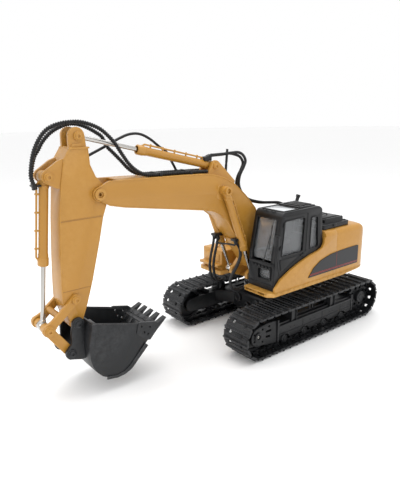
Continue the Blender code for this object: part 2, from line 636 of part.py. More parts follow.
def build_cab():
    outer = [(79.0, DECK_Z1 + GAP), (76.6, 132.0), (66.5, 182.0), (62.0, CAB_TOP), (-7.5, CAB_TOP),
             (-14.0, 183.0),
             (-17.5, 131.0), (-17.5, DECK_Z1 + GAP)]
    inner = [(75.6, DECK_Z1 - 4), (73.4, 131.0), (63.5, 180.0), (60.5, CAB_TOP - 4), (-8.0, CAB_TOP - 4),
             (-11.0, 181.0), (-14.5, 131.0), (-14.5, DECK_Z1 - 4)]
    cab = prism([rounded(outer, [1, 2, 5, 5, 5, 5, 2, 1], 3)], CAB_Y0, CAB_Y1, "y")
    cab = cut(cab, prism([inner], CAB_Y0 + 3, CAB_Y1 - 3, "y"))
    # door window, rear quarter window, the same pair on the inner side
    door = rounded([(65.5, 128.5), (59.5, 175.5), (21.0, 175.5), (24.0, 128.5)], 2.5, 3)
    quarter = rounded([(9.5, 129.5), (7.5, 173.5), (-5.0, 173.5), (-8.0, 129.5)], 2.5, 3)
    cab = cut(cab, prism([door], CAB_Y0 - 5, CAB_Y1 + 5, "y"),
              prism([quarter], CAB_Y0 - 5, CAB_Y1 + 5, "y"))
    # windscreen, lower front window, roof light, rear window
    cab = cut(cab, box(50.0, 90.0, CAB_Y0 + 6, CAB_Y1 - 7, 119.0, 177.0))
    cab = cut(cab, prism([rounded([(CAB_Y0 + 19.0, 96.5), (CAB_Y1 - 8, 97.0), (CAB_Y1 - 8, 111.0),
                                   (CAB_Y0 + 19.0, 110.0)], 2, 2)], 60.0, 90.0, "x"))
    cab = cut(cab, prism([rounded([(31.0, 36.5), (58.0, 36.5), (58.0, CAB_Y1 - 5.5),
                                   (31.0, CAB_Y1 - 5.5)], 3, 3)], 175.0, 200.0, "z"))
    cab = cut(cab, box(-30.0, 0.0, CAB_Y0 + 7, CAB_Y1 - 7, 152.0, 174.0))
    # ribbed plate on the back of the roof
    cab = join(cab, box(-6.0, 24.0, 34.0, CAB_Y1 - 6.5, CAB_TOP - 1, CAB_TOP + 1.4))
    for i in range(4):
        cab = join(cab, box(-3.0 + i * 6.5, 0.0 + i * 6.5, 38.0, CAB_Y1 - 10.5, CAB_TOP + 1,
                            CAB_TOP + 2.6))
    add("cab_frame", cab, "black_plastic", (30, 53, DECK_Z1))

    def pane(name, mesh, pivot):
        add(name, mesh, "smoky_window", pivot)
    # panes sit on the inner faces of the frame
    y0 = CAB_Y1 - 3 - GAP
    door = rounded([(67.0, 126.5), (60.6, 177.5), (19.0, 177.5), (22.0, 126.5)], 2, 2)
    pane("door_window_left", prism([door], y0 - 0.9, y0, "y"), (43, y0, 152))
    quarter = rounded([(11.5, 127.5), (9.5, 175.5), (-7.0, 175.5), (-10.0, 127.5)], 2, 2)
    pane("quarter_window_left", prism([quarter], y0 - 0.9, y0, "y"), (1, y0, 152))
    y1 = CAB_Y0 + 3 + GAP
    pane("side_window_right", prism([rounded([(67.0, 126.5), (60.6, 177.5), (-7.0, 177.5),
                                              (-10.0, 126.5)], 2, 2)],
                                    y1, y1 + 0.9, "y"), (30, y1, 152))
    screen = [(73.62, 122.0), (72.9, 131.6), (63.6, 177.6), (62.7, 177.6), (72.0, 131.4), (72.72, 122.0)]
    pane("windscreen", prism([screen], CAB_Y0 + 4.6, CAB_Y1 - 5.0, "y"), (70, 53, 150))
    lower = [(74.5, 94.5), (73.7, 113.0), (72.8, 113.0), (73.6, 94.5)]
    pane("lower_front_window", prism([lower], CAB_Y0 + 16.0, CAB_Y1 - 5.5, "y"), (75, 60, 104))
    pane("roof_window", box(28.5, 59.6, 34.6, CAB_Y1 - 3.9, CAB_TOP - 4 - GAP - 0.9, CAB_TOP - 4 - GAP),
         (45, 54, CAB_TOP - 5))

    # driver's seat on its plinth, and the mirror on its arm
    y0, y1 = CAB_Y0 + 9.0, CAB_Y1 - 13.5
    seat = join(box(4.0, 34.0, y0, y1, DECK_Z1 + GAP, 100.0), box(2.0, 36.0, y0 - 2, y1 + 2, 99.0, 108.0))
    back = prism([rounded([(1.0, 106.0), (10.0, 106.0), (4.0, 146.0), (-4.0, 146.0)], 2.5, 3)], y0, y1,
                 "y")
    seat = join(seat, back, box(12.0, 34.0, y0 - 5.5, y0 - 1, 106.0, 112.0))
    seat = join(seat, box(12.0, 34.0, y1 + 1, y1 + 5.5, 106.0, 112.0))
    add("driver_seat", seat, "black_plastic", (18, 53, DECK_Z1))
    mirror = prism([rounded([(CAB_Y1 - 0.0, 146.0), (CAB_Y1 + 8.0, 146.0), (CAB_Y1 + 8.0, 160.0),
                             (CAB_Y1 + 0.8, 160.0)], 1.6, 3)], 69.0, 72.5, "x")
    mirror.transform(Matrix.Translation((8.5, 0.0, 0.0)))
    arm = join(bar((72.6, CAB_Y1 + GAP, 157), (72.6, CAB_Y1 + 3.2, 157), 1.2, 10),
               bar((72.0, CAB_Y1 + 2.6, 157), (79.0, CAB_Y1 + 2.6, 155), 1.1, 10))
    add("side_mirror", join(mirror, arm), "black_plastic", (75, CAB_Y1 + 3, 153))


# ----------------------------------------------------------------------- arm
def build_boom():
    # bent box: foot end narrow, the rest full width, a fork at the tip
    bx, bz = P_FOOT
    tip = arc(P_ELBOW[0], P_ELBOW[1], 7.6, -100, 60, 8)
    upper = [(96.6, 158.8), (103.8, 171.0), (109.0, 177.2), (117.7, 183.9), (127.0, 189.0), (142.7, 192.6),
             (181.9, 199.2), (225.0, 206.3), (258.1, 211.8), (276.8, 216.2)] + tip
    upper += [(275.5, 243.0), (223.2, 241.4), (180.5, 240.2), (141.9, 238.6), (125.6, 235.8),
              (108.8, 230.3),
              (91.4, 220.7), (73.2, 205.2), (54.1, 184.8), (42.0, 160.0), (36.0, 136.0), (78.5, 136.0)]
    boom = prism([upper], -BOOM_HALF, BOOM_HALF, "y")
    foot = [(86.0, 142.0), (40.0, 146.0)] + arc(bx, bz, 8.6, 168, 345, 10)
    foot_hole = circle(bx, bz, 3.0 + GAP, 14)
    boom = join(boom, prism([foot], -BOOM_FOOT_HALF, BOOM_FOOT_HALF, "y"))
    boom = cut(boom, prism([foot_hole], -40, 40, "y"))
    # fork slot for the stick, with room for it to swing
    slot = arc(P_ELBOW[0], P_ELBOW[1], 30.0, 100, 260, 14) + [(330.0, 190.0), (330.0, 270.0)]
    boom = cut(boom, prism([slot], -STICK_HALF - 0.5, STICK_HALF + 0.5, "y"))
    boom = cut(boom, rod_y(P_ELBOW, 3.0 + GAP, -40, 40, 14))
    # ears on top of the bend for the stick cylinder
    cx, cz = P_STICK_HEAD
    ear = [(90.0, 212.0), (134.0, 228.0), (131.0, 240.0)] + arc(cx, cz, 7.4, 10, 130, 7) + [(86.0, 224.0)]
    for sy in (1, -1):
        y0, y1 = sorted((sy * 7.4, sy * 11.0))
        boom = join(boom, prism([ear], y0, y1, "y"))
    boom = join(boom, rod_y(P_STICK_HEAD, PIN_R, -11.8, 11.8, 12))
    # cross tube for the lift cylinder heads
    boom = join(boom, rod_y(P_LIFT_HEAD, 5.0, -19.1, 19.1, 18), rod_y(P_LIFT_HEAD, PIN_R, -29.4, 29.4, 12))
    # small round bosses outside the fork tips
    for sy in (1, -1):
        y0, y1 = sorted((sy * 17.0, sy * 19.0))
        boom = join(boom, prism([circle(*P_ELBOW, 6.4, 14), circle(*P_ELBOW, 3.0 + GAP, 14)], y0, y1, "y"))
    add("boom", boom, "yellow_plastic", (bx, 0, bz))

    pin = rod_y(P_FOOT, 3.0, -19.0, 19.0, 14)
    add("boom_foot_pin", pin, "bright_rod", (bx, 0, bz))
    pin = rod_y(P_ELBOW, 3.0, -18.4, 18.4, 14)
    add("elbow_pin", pin, "grey_metal", (P_ELBOW[0], 0, P_ELBOW[1]))


def unit(p, q):
    """The direction from one pin to another, and the distance."""
    d = Vector((q[0] - p[0], q[1] - p[1]))
    return d.normalized(), d.length


def barrel_mesh(head, rod_end, y, reach, eye_half, pin_r, depth):
    """Hollow cylinder pinned at its head, open towards the rod, with pipe and clips."""
    u, _ = unit(head, rod_end)

    def at(t, side=0.0, dy=0.0):
        return (head[0] + u.x * t - u.y * side, y + dy, head[1] + u.y * t + u.x * side)
    profile = [(0, 5.5), (BARREL_R, 5.5), (BARREL_R, reach - 9), (BARREL_R + 0.7, reach - 8.6),
               (BARREL_R + 0.7, reach), (GLAND_BORE_R, reach), (GLAND_BORE_R, reach - 3),
               (BORE_R, reach - 3),
               (BORE_R, reach - depth), (0, reach - depth)]
    shape = along(turned(profile, 14), at(0), at(1))
    eye = prism([circle(head[0], head[1], 6.2, 12)], y - eye_half, y + eye_half, "y")
    shape = join(shape, eye)
    return cut(shape, rod_y(head, pin_r + GAP, y - 40, y + 40, 14)), at


def with_pipe(shape, at, start, end, side, dy):
    """A thin hard pipe held off the barrel by clips."""
    shape = join(shape, bar(at(start, side * 7.6, dy), at(end, side * 7.6, dy), 1.1, 6))
    for i in range(CLIP_COUNT):
        t = start + (end - start) * (i + 0.5) / CLIP_COUNT
        shape = join(shape, bar(at(t, side * 3.8, dy * 0.4), at(t, side * 8.2, dy * 1.02), 1.5, 6))
    return shape


def rod_mesh(head, rod_end, y, inside, eye_half, eye_r, hole_r):
    """Bright rod with an eye at its far end; it stops `inside` mm short of the head pin."""
    u, length = unit(rod_end, head)

    def at(t):
        return (rod_end[0] + u.x * t, y, rod_end[1] + u.y * t)
    stem = along(turned([(0, 3.0), (ROD_R, 3.0), (ROD_R, length - inside), (0, length - inside)], 12),
                 at(0), at(1))
    eye = rod_y(rod_end, eye_r, y - eye_half, y + eye_half, 12)
    neck = along(turned([(0, 3.0), (3.2, 3.0), (3.2, eye_r + 4.0), (0, eye_r + 4.0)], 12), at(0), at(1))
    shape = join(stem, eye, neck)
    if hole_r:
        shape = cut(shape, rod_y(rod_end, hole_r, y - 40, y + 40, 14))
    return shape


def build_cylinders():
    # lift cylinders, one on each side of the boom
    head, foot = P_LIFT_HEAD, P_LIFT_ROD
    for side, y in (("left", LIFT_Y), ("right", -LIFT_Y)):
        shape, at = barrel_mesh(head, foot, y, 92.0, 4.2, PIN_R, 74.0)
        shape = with_pipe(shape, at, 18.0, 82.0, -1, 0.0)
        add("lift_barrel_" + side, shape, "yellow_plastic", (head[0], y, head[1]))
        shape = rod_mesh(head, foot, y, 30.0, 4.0, 5.0, PIN_R + GAP)
        add("lift_rod_" + side, shape, "bright_rod", (foot[0], y, foot[1]))
    # stick cylinder on top of the boom
    head, end = P_STICK_HEAD, P_STICK_ROD
    shape, at = barrel_mesh(head, end, 0.0, 114.0, 6.0, PIN_R, 96.0)
    shape = with_pipe(shape, at, 20.0, 104.0, 1, 0.0)
    add("stick_barrel", shape, "yellow_plastic", (head[0], 0, head[1]))
    shape = rod_mesh(head, end, 0.0, 48.0, 5.4, 5.6, PIN_R + GAP)
    add("stick_rod", shape, "bright_rod", (end[0], 0, end[1]))
    # bucket cylinder in front of the stick
    head, end = P_CURL_HEAD, P_CURL_ROD
    shape, at = barrel_mesh(head, end, 0.0, 96.0, 6.0, PIN_R, 80.0)
    shape = with_pipe(shape, at, 4.0, 86.0, 1, 0.0)
    add("bucket_barrel", shape, "yellow_plastic", (head[0], 0, head[1]))
    shape = rod_mesh(head, end, 0.0, 50.0, 5.0, 5.6, PIN_R + GAP)
    add("bucket_rod", shape, "bright_rod", (end[0], 0, end[1]))


def build_stick():
    ex, ez = P_ELBOW
    outline = [(315.5, 282.0), (324.0, 270.0), (329.7, 244.0), (333.9, 207.6), (337.6, 164.3),
               (339.6, 131.0),
               (340.0, 116.0), (336.0, 100.0)]
    outline += arc(P_BUCKET[0], P_BUCKET[1], 7.4, 20, -195, 10)
    outline += [(311.5, 107.0), (302.8, 133.7), (296.6, 156.1), (290.5, 178.2), (284.5, 203.0),
                (279.5, 216.0)]
    outline += arc(ex, ez, 11.5, 200, 130, 5)
    outline += [(289.5, 248.5), (295.2, 262.0), (296.0, 280.0)]
    stick = prism([outline], -STICK_HALF, STICK_HALF, "y")
    stick = cut(stick, rod_y(P_ELBOW, 3.0 + GAP, -40, 40, 14), rod_y(P_BUCKET, 3.0 + GAP, -40, 40, 14))
    # room between the ears for the rod as the stick folds in
    stick = cut(stick, prism([[(288.0, 262.0), (303.0, 277.0), (304.0, 296.0), (280.0, 296.0)]], -6.4,
                             6.4, "y"))
    # top ears for the stick rod
    dx, dz = P_STICK_ROD
    ear = [(296.5, 276.0), (316.5, 277.0)] + arc(dx + 1, dz, 9.2, -10, 180, 9)
    for sy in (1, -1):
        y0, y1 = sorted((sy * 7.0, sy * 11.0))
        stick = join(stick, prism([ear], y0, y1, "y"))
    stick = join(stick, rod_y(P_STICK_ROD, PIN_R, -12.0, 12.0, 12))
    for sy in (1, -1):
        y0, y1 = sorted((sy * 10.5, sy * 12.7))
        stick = join(stick, prism([circle(*P_STICK_ROD, 4.3, 14, 0.11)], y0, y1, "y"))
    # bracket for the bucket cylinder
    fx, fz = P_CURL_HEAD
    bracket = [(322.0, 271.0), (327.0, 240.0), (333.0, 240.0)] + arc(fx, fz, 6.8, -60, 60,
                                                                     6) + [(331.0, 268.0)]
    for sy in (1, -1):
        y0, y1 = sorted((sy * 8.2, sy * 12.0))
        stick = join(stick, prism([bracket], y0, y1, "y"))
        y0, y1 = sorted((sy * 11.5, sy * 13.6))
        stick = join(stick, rod_y(P_CURL_HEAD, 4.4, y0, y1, 12))
    stick = join(stick, rod_y(P_CURL_HEAD, PIN_R, -12.6, 12.6, 12))
    # rocker pins: a boss on each flank and a stub
    for sy in (1, -1):
        y0, y1 = sorted((sy * 13.0, sy * 19.4))
        stick = join(stick, rod_y(P_ROCKER, PIN_R, y0, y1, 12))
    add("stick", stick, "yellow_plastic", (ex, 0, ez))


def build_bucket_gear():
    # rocker: two arms, a cross tube half way and the rod pin at the end
    h, g = P_ROCKER, P_CURL_ROD
    u, length = unit(h, g)
    normal = Vector((-u.y, u.x))

    def off(t, s):
        return (h[0] + u.x * t + normal.x * s, h[1] + u.y * t + normal.y * s)
    angle = math.degrees(math.atan2(u.y, u.x))
    arm = arc(h[0], h[1], 6.4, angle + 120, angle + 240, 6) + [off(10, -4.6), off(length - 9, -4.6)]
    arm += arc(g[0], g[1], 6.8, angle - 110, angle + 110, 8) + [off(length - 9, 4.6), off(10, 4.6)]
    hole = circle(h[0], h[1], PIN_R + GAP, 12)
    rocker = None
    for sy in (1, -1):
        y0, y1 = sorted((sy * 14.1, sy * 18.2))
        plate = prism([arm, hole], y0, y1, "y")
        rocker = plate if rocker is None else join(rocker, plate)
    mid = off(length * 0.58, 0)
    rocker = join(rocker, rod_y(mid, 3.9, -16.0, 16.0, 12), rod_y(g, PIN_R, -16.0, 16.0, 12))
    for sy in (1, -1):
        y0, y1 = sorted((sy * 17.6, sy * 20.4))
        rocker = join(rocker, rod_y(g, 6.2, y0, y1, 14))
    add("rocker", rocker, "yellow_plastic", (h[0], 0, h[1]))

    # link from the rocker down to the bucket: open at the rod eye, a play hole below
    i = P_LINK
    u, length = unit(g, i)
    normal = Vector((-u.y, u.x))
    body = arc(g[0], g[1], 5.4, math.degrees(math.atan2(u.y, u.x)) + 100,
               math.degrees(math.atan2(u.y, u.x)) + 260, 8)
    body += arc(i[0], i[1], 5.6, math.degrees(math.atan2(u.y, u.x)) - 100,
                math.degrees(math.atan2(u.y, u.x)) + 100, 8)
    holes = [circle(g[0], g[1], PIN_R + GAP, 12), circle(i[0], i[1], 1.9 + PLAY, 18)]
    link = prism([body] + holes, -13.0, 13.0, "y")
    link = cut(link, prism([circle(g[0], g[1], 10.5, 14)], -5.8, 5.8, "y"))
    add("bucket_link", link, "yellow_plastic", (g[0], 0, g[1]))

    # bucket: a curved pan with closed sides, five teeth, ears and side cutters
    shell = [(316.2, 89.6), (321.8, 64.0), (321.8, 48.0), (319.4, 38.0), (315.2, 29.5), (308.5, 22.3),
             (300.0, 17.9),
             (290.2, 16.5), (281.0, 18.0), (273.0, 22.6), (262.0, 33.0), (233.0, 62.5), (241.0, 67.5),
             (262.2, 74.5)]
    hollow = [(313.6, 110.0), (313.6, 89.2), (319.0, 64.0), (319.0, 49.0), (316.8, 39.5), (313.0, 32.0),
              (307.0, 25.3),
              (299.3, 21.2), (290.3, 19.7), (282.3, 21.0), (275.0, 25.2), (264.4, 35.4), (236.6, 63.8),
              (238.0, 74.0), (262.0, 110.0)]
    pan = prism([shell], -BUCKET_HALF, BUCKET_HALF, "y")
    pan = cut(pan, prism([hollow], -BUCKET_HALF + 2.6, BUCKET_HALF - 2.6, "y"))
    # wear bands on the lower outside corner and across the floor
    band = [(303.0, 19.0), (290.2, 16.9), (281.2, 18.4), (273.4, 22.9), (250.0, 45.6), (246.6, 42.4),
            (270.6, 19.4),
            (280.4, 15.4), (290.2, 14.4), (303.6, 16.6)]
    lip = [(240.6, 62.4), (229.6, 66.2), (228.0, 64.8), (236.4, 56.6), (243.0, 50.6), (246.0, 53.0)]
    pan = join(pan, prism([lip], -BUCKET_HALF - 0.6, BUCKET_HALF + 0.6, "y"))
    for sy in (1, -1):
        y0, y1 = sorted((sy * (BUCKET_HALF - 1.4), sy * (BUCKET_HALF + 1.3)))
        cutter = rounded([(258.5, 75.6), (235.0, 70.0), (228.4, 64.4), (243.5, 49.0), (249.0, 50.0),
                          (262.0, 62.0)],
                         [3, 3, 1, 1, 3, 3], 3)
        pan = join(pan, prism([cutter], y0, y1, "y"))
        for hx, hz in ((255.0, 69.4), (251.6, 61.0), (243.6, 65.6), (246.4, 57.4)):
            y0, y1 = sorted((sy * (BUCKET_HALF - 8), sy * (BUCKET_HALF + 5)))
            pan = cut(pan, rod_y((hx, hz), 1.5, y0, y1, 8))
        y0, y1 = sorted((sy * (BUCKET_HALF - 1.0), sy * (BUCKET_HALF + 0.9)))
        pan = join(pan, prism([band], y0, y1, "y"))
    # five teeth pointing on from the floor
    for k in range(5):
        y = (k - 2) * TOOTH_GAP_Y
        tooth = [(239.0, 60.0), (245.0, 54.0), (241.6, 50.4), (230.0, 59.6), (217.8, 70.4), (219.0, 71.6),
                 (233.6, 65.2)]
        pan = join(pan, prism([tooth], y - 3.4, y + 3.4, "y"))
    # ears with the two pin holes
    ear = arc(P_BUCKET[0], P_BUCKET[1], 7.6, 170, -10, 9) + [(335.4, 76.0), (335.6, 66.0)]
    ear += arc(P_LINK[0], P_LINK[1], 7.2, 60, -90, 7) + [(326.0, 44.0), (319.8, 44.0), (320.8, 56.0),
                                                         (320.4, 66.0)]
    hole = circle(*P_BUCKET, 3.0 + GAP, 14)
    for sy in (1, -1):
        y0, y1 = sorted((sy * 14.1, sy * 17.6))
        pan = join(pan, prism([ear, hole], y0, y1, "y"))
    pan = join(pan, rod_y(P_LINK, 1.9, -16.5, 16.5, 14))
    add("bucket", pan, "bucket_metal", (P_BUCKET[0], 0, P_BUCKET[1]))
    add("bucket_pin", rod_y(P_BUCKET, 3.0, -17.4, 17.4, 14), "grey_metal", (P_BUCKET[0], 0, P_BUCKET[1]))


def main():
    for obj in list(bpy.data.objects):
        bpy.data.objects.remove(obj, do_unlink=True)
    build_belts()
    build_wheels()
    build_track_frames()
    build_carbody()
    build_deck()
    build_covers()
    build_cab()
    build_boom()
    build_cylinders()
    build_stick()
    build_bucket_gear()
    print("pieces:", len(bpy.data.objects))


main()
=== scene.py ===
# %% [markdown]
# # A hobby-size tracked excavator
# The machine is about half a metre long, moulded in ochre and black plastic with bright rods.
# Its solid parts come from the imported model, which also says how every part moves.  This script
# keeps those places and gives the parts their fine shape: rounded edges, shoes, hoses, bolts,
# window frames and a finish for each surface.
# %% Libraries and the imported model
import math
import json

import bmesh
import bpy
from mathutils import Matrix, Vector


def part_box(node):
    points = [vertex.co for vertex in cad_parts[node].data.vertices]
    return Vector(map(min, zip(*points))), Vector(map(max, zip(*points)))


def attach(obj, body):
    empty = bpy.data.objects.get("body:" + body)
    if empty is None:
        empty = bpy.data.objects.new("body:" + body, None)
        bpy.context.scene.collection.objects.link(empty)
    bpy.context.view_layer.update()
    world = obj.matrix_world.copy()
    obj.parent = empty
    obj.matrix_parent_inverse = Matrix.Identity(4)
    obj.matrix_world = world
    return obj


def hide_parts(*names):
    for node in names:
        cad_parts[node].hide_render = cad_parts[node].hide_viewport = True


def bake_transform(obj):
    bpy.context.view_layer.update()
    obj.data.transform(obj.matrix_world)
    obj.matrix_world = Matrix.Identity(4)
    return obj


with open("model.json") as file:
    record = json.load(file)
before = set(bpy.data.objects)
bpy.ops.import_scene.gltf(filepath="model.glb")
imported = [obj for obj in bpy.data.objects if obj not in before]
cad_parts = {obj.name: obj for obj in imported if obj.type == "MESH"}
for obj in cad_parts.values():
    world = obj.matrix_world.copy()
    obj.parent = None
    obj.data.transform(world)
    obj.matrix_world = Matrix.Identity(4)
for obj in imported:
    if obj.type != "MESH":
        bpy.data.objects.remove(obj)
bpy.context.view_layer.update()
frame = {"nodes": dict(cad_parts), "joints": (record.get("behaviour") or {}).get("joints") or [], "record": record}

# %% [markdown]
# ## One way of measuring
# A maker thinks in millimetres from the turning axis of the house.  The joints of the packed
# model give that axis and every pin, so the shapes below are drawn in millimetres in the
# machine's own frame and moved into the model's frame at the very end, in the mesh itself.
# %% Machine frame, pins and sizes
MM = 0.001
AXIS_X = next(j["pos_m"][0] for j in frame["joints"] if j["name"] == "swing")
TO_ROW = Matrix.Translation((AXIS_X, 0, 0)) @ Matrix.Scale(MM, 4)


def machine(point):
    """A point of the model as (x, y, z) in millimetres from the turning axis."""
    return Vector(((point[0] - AXIS_X) / MM, point[1] / MM, point[2] / MM))


def row(x, y, z):
    """A machine point as a point of the model, in metres."""
    return TO_ROW @ Vector((x, y, z))


PIN = {j["name"]: machine(j["pos_m"]) for j in frame["joints"]}


def limits(node):
    """Lowest and highest corner of a part in millimetres from the turning axis."""
    low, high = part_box(node)
    return machine(low), machine(high)


BELT_LOW, BELT_HIGH = limits("track_belt_left")
print("boom foot pin:", [round(v, 1) for v in PIN["boom_lift"]], "belt:", [round(v, 1) for v in BELT_HIGH])

# %% [markdown]
# ## Camera, floor and light
# A long lens would flatten the machine, so the camera stands about half a metre off, a little
# above the cab roof, with a normal lens.  One large soft lamp lights the far left, a second
# fills the near side, and a pale world keeps the shadows open.
# %% Camera
CAMERA_AT = Vector((528.93, 506.75, 317.60))
CAMERA_TURN = math.radians(52.41)
CAMERA_DOWN = math.radians(15.94)
CAMERA_ROLL = math.radians(-1.01)
CAMERA_LENS = 35.63


def camera_matrix():
    """The camera looks along -Z of its own frame."""
    ahead = Vector((-math.cos(CAMERA_TURN) * math.cos(CAMERA_DOWN),
                    -math.sin(CAMERA_TURN) * math.cos(CAMERA_DOWN), -math.sin(CAMERA_DOWN)))
    side = ahead.cross(Vector((0, 0, 1))).normalized()
    up = side.cross(ahead)
    right = math.cos(CAMERA_ROLL) * side + math.sin(CAMERA_ROLL) * up
    top = -math.sin(CAMERA_ROLL) * side + math.cos(CAMERA_ROLL) * up
    turn = Matrix((right, top, -ahead)).transposed().to_4x4()
    return Matrix.Translation(row(*CAMERA_AT)) @ turn


camera_data = bpy.data.cameras.new("camera")
camera_data.sensor_width = 36.0
camera_data.lens = CAMERA_LENS
camera_data.clip_start = 0.01
camera = bpy.data.objects.new("camera", camera_data)
camera.matrix_world = camera_matrix()
bpy.context.scene.collection.objects.link(camera)
bpy.context.scene.camera = camera
print("camera at", [round(v, 3) for v in camera.matrix_world.translation])

# %% Light and world
scene = bpy.context.scene
scene.view_settings.view_transform = "Standard"
scene.view_settings.look = "None"
world = bpy.data.worlds.new("studio")
world.use_nodes = True
world.node_tree.nodes["Background"].inputs["Color"].default_value = (1.0, 1.0, 1.0, 1.0)
world.node_tree.nodes["Background"].inputs["Strength"].default_value = 1.0
scene.world = world


def lamp(name, place, target, size, power):
    """A square area lamp aimed at a point; places in millimetres of the machine frame."""
    data = bpy.data.lights.new(name, "AREA")
    data.shape = "SQUARE"
    data.size = size
    data.energy = power
    obj = bpy.data.objects.new(name, data)
    spot = row(*place)
    aim = row(*target)
    obj.location = spot
    obj.rotation_mode = "QUATERNION"
    obj.rotation_quaternion = (aim - spot).to_track_quat("-Z", "Y")
    scene.collection.objects.link(obj)
    return obj


lamp("top_softbox", (60, -120, 1150), (110, 0, 60), 0.9, 7.0)
lamp("front_softbox", (980, -420, 640), (170, 0, 110), 0.6, 2.5)
lamp("side_softbox", (60, 1000, 560), (60, 0, 90), 0.7, 1.0)

# %% [markdown]
# ## Finishes
# Moulded plastic is never one flat colour.  Three effects are shared by all the finishes and
# are built once as node groups: a slow drift of colour over a part, the fine grain that the
# mould leaves, and a painted highlight that lightens the colour on the outward edges, where
# light catches them.  Each material places them with its own values.
# %% Node group helpers


def new_group(name, inputs, outputs):
    """An empty shader group with named float or colour sockets."""
    tree = bpy.data.node_groups.new(name, "ShaderNodeTree")
    for title, kind, value in inputs:
        socket = tree.interface.new_socket(title, in_out="INPUT", socket_type=kind)
        socket.default_value = value
    for title, kind in outputs:
        tree.interface.new_socket(title, in_out="OUTPUT", socket_type=kind)
    return tree, tree.nodes.new("NodeGroupInput"), tree.nodes.new("NodeGroupOutput")


def add_node(tree, kind, settings=None, **inputs):
    """A node with its settings, its inputs set or linked by name; _ stands for a space."""
    node = tree.nodes.new(kind)
    for title, setting in (settings or {}).items():
        setattr(node, title, setting)
    for title, value in inputs.items():
        socket = node.inputs[title.replace("_", " ")]
        if isinstance(value, bpy.types.NodeSocket):
            tree.links.new(value, socket)
        else:
            socket.default_value = value
    return node


def math_node(tree, operation, a, b=None, clamp=False):
    """One arithmetic node; numbers are set and sockets are linked."""
    node = tree.nodes.new("ShaderNodeMath")
    node.operation = operation
    node.use_clamp = clamp
    for socket, value in zip(node.inputs, (a, b)):
        if value is None:
            continue
        if isinstance(value, (int, float)):
            socket.default_value = value
        else:
            tree.links.new(value, socket)
    return node.outputs[0]


def noise_node(tree, vector, scale, detail=2.0, rough=0.5):
    """A noise texture read in the part's own coordinates."""
    return add_node(tree, "ShaderNodeTexNoise", Vector=vector, Scale=scale, Detail=detail,
                    Roughness=rough).outputs["Fac"]


# %% Colour drift: slow light and dark patches
drift_group, drift_in, drift_out = new_group(
    "colour_drift",
    [("Color", "NodeSocketColor", (0.5, 0.5, 0.5, 1.0)), ("Amount", "NodeSocketFloat", 0.1),
     ("Scale", "NodeSocketFloat", 18.0)],
    [("Color", "NodeSocketColor")])
coords = drift_group.nodes.new("ShaderNodeTexCoord").outputs["Object"]
patch = noise_node(drift_group, coords, drift_in.outputs["Scale"], 3.0)
centred = math_node(drift_group, "SUBTRACT", patch, 0.5)
swing = math_node(drift_group, "MULTIPLY", centred, drift_in.outputs["Amount"])
value = math_node(drift_group, "ADD", swing, 1.0)
hue = add_node(drift_group, "ShaderNodeHueSaturation", Value=value, Color=drift_in.outputs["Color"])
drift_group.links.new(hue.outputs["Color"], drift_out.inputs["Color"])
print("group:", drift_group.name)

# %% Mould grain: the fine texture of the tool, as a height and a roughness
grain_group, grain_in, grain_out = new_group(
    "mould_grain",
    [("Scale", "NodeSocketFloat", 900.0), ("Roughness", "NodeSocketFloat", 0.45),
     ("Variation", "NodeSocketFloat", 0.1)],
    [("Height", "NodeSocketFloat"), ("Roughness", "NodeSocketFloat")])
coords = grain_group.nodes.new("ShaderNodeTexCoord").outputs["Object"]
fine = noise_node(grain_group, coords, grain_in.outputs["Scale"], 2.0, 0.6)
smear = noise_node(grain_group, coords, 45.0, 4.0, 0.65)
centred = math_node(grain_group, "SUBTRACT", smear, 0.5)
shift = math_node(grain_group, "MULTIPLY", centred, grain_in.outputs["Variation"])
grain_group.links.new(fine, grain_out.inputs["Height"])
grain_group.links.new(math_node(grain_group, "ADD", shift, grain_in.outputs["Roughness"], clamp=True),
                      grain_out.inputs["Roughness"])
print("group:", grain_group.name)

# %% Painted edge highlight: a mask, white on outward edges and broken up by noise, that lightens the colour there as painted light
highlight_group, highlight_in, highlight_out = new_group(
    "painted_edge_highlight",
    [("Reach", "NodeSocketFloat", 0.06), ("Breakup", "NodeSocketFloat", 160.0)],
    [("Mask", "NodeSocketFloat")])
coords = highlight_group.nodes.new("ShaderNodeTexCoord").outputs["Object"]
pointy = highlight_group.nodes.new("ShaderNodeNewGeometry").outputs["Pointiness"]
speckle = noise_node(highlight_group, coords, highlight_in.outputs["Breakup"], 4.0, 0.7)
above = math_node(highlight_group, "SUBTRACT", pointy, 0.5)
strength = math_node(highlight_group, "DIVIDE", above, highlight_in.outputs["Reach"], clamp=True)
highlight_breakup = math_node(highlight_group, "MULTIPLY", math_node(highlight_group, "SUBTRACT", speckle, 0.35), 2.2, clamp=True)
highlight_group.links.new(math_node(highlight_group, "MULTIPLY", strength, highlight_breakup, clamp=True), highlight_out.inputs["Mask"])
print("group:", highlight_group.name)

# %% [markdown]
# Each finish is a Principled shader of its own.  The groups feed its colour, roughness and the
# height of a Bump node; numbers that are the same everywhere are set on the shader itself.
# %% Finish maker


def group_node(tree, group, **values):
    """Place a shared group and set its unlinked inputs by name."""
    node = tree.nodes.new("ShaderNodeGroup")
    node.node_tree = group
    for title, setting in values.items():
        node.inputs[title].default_value = setting
    return node


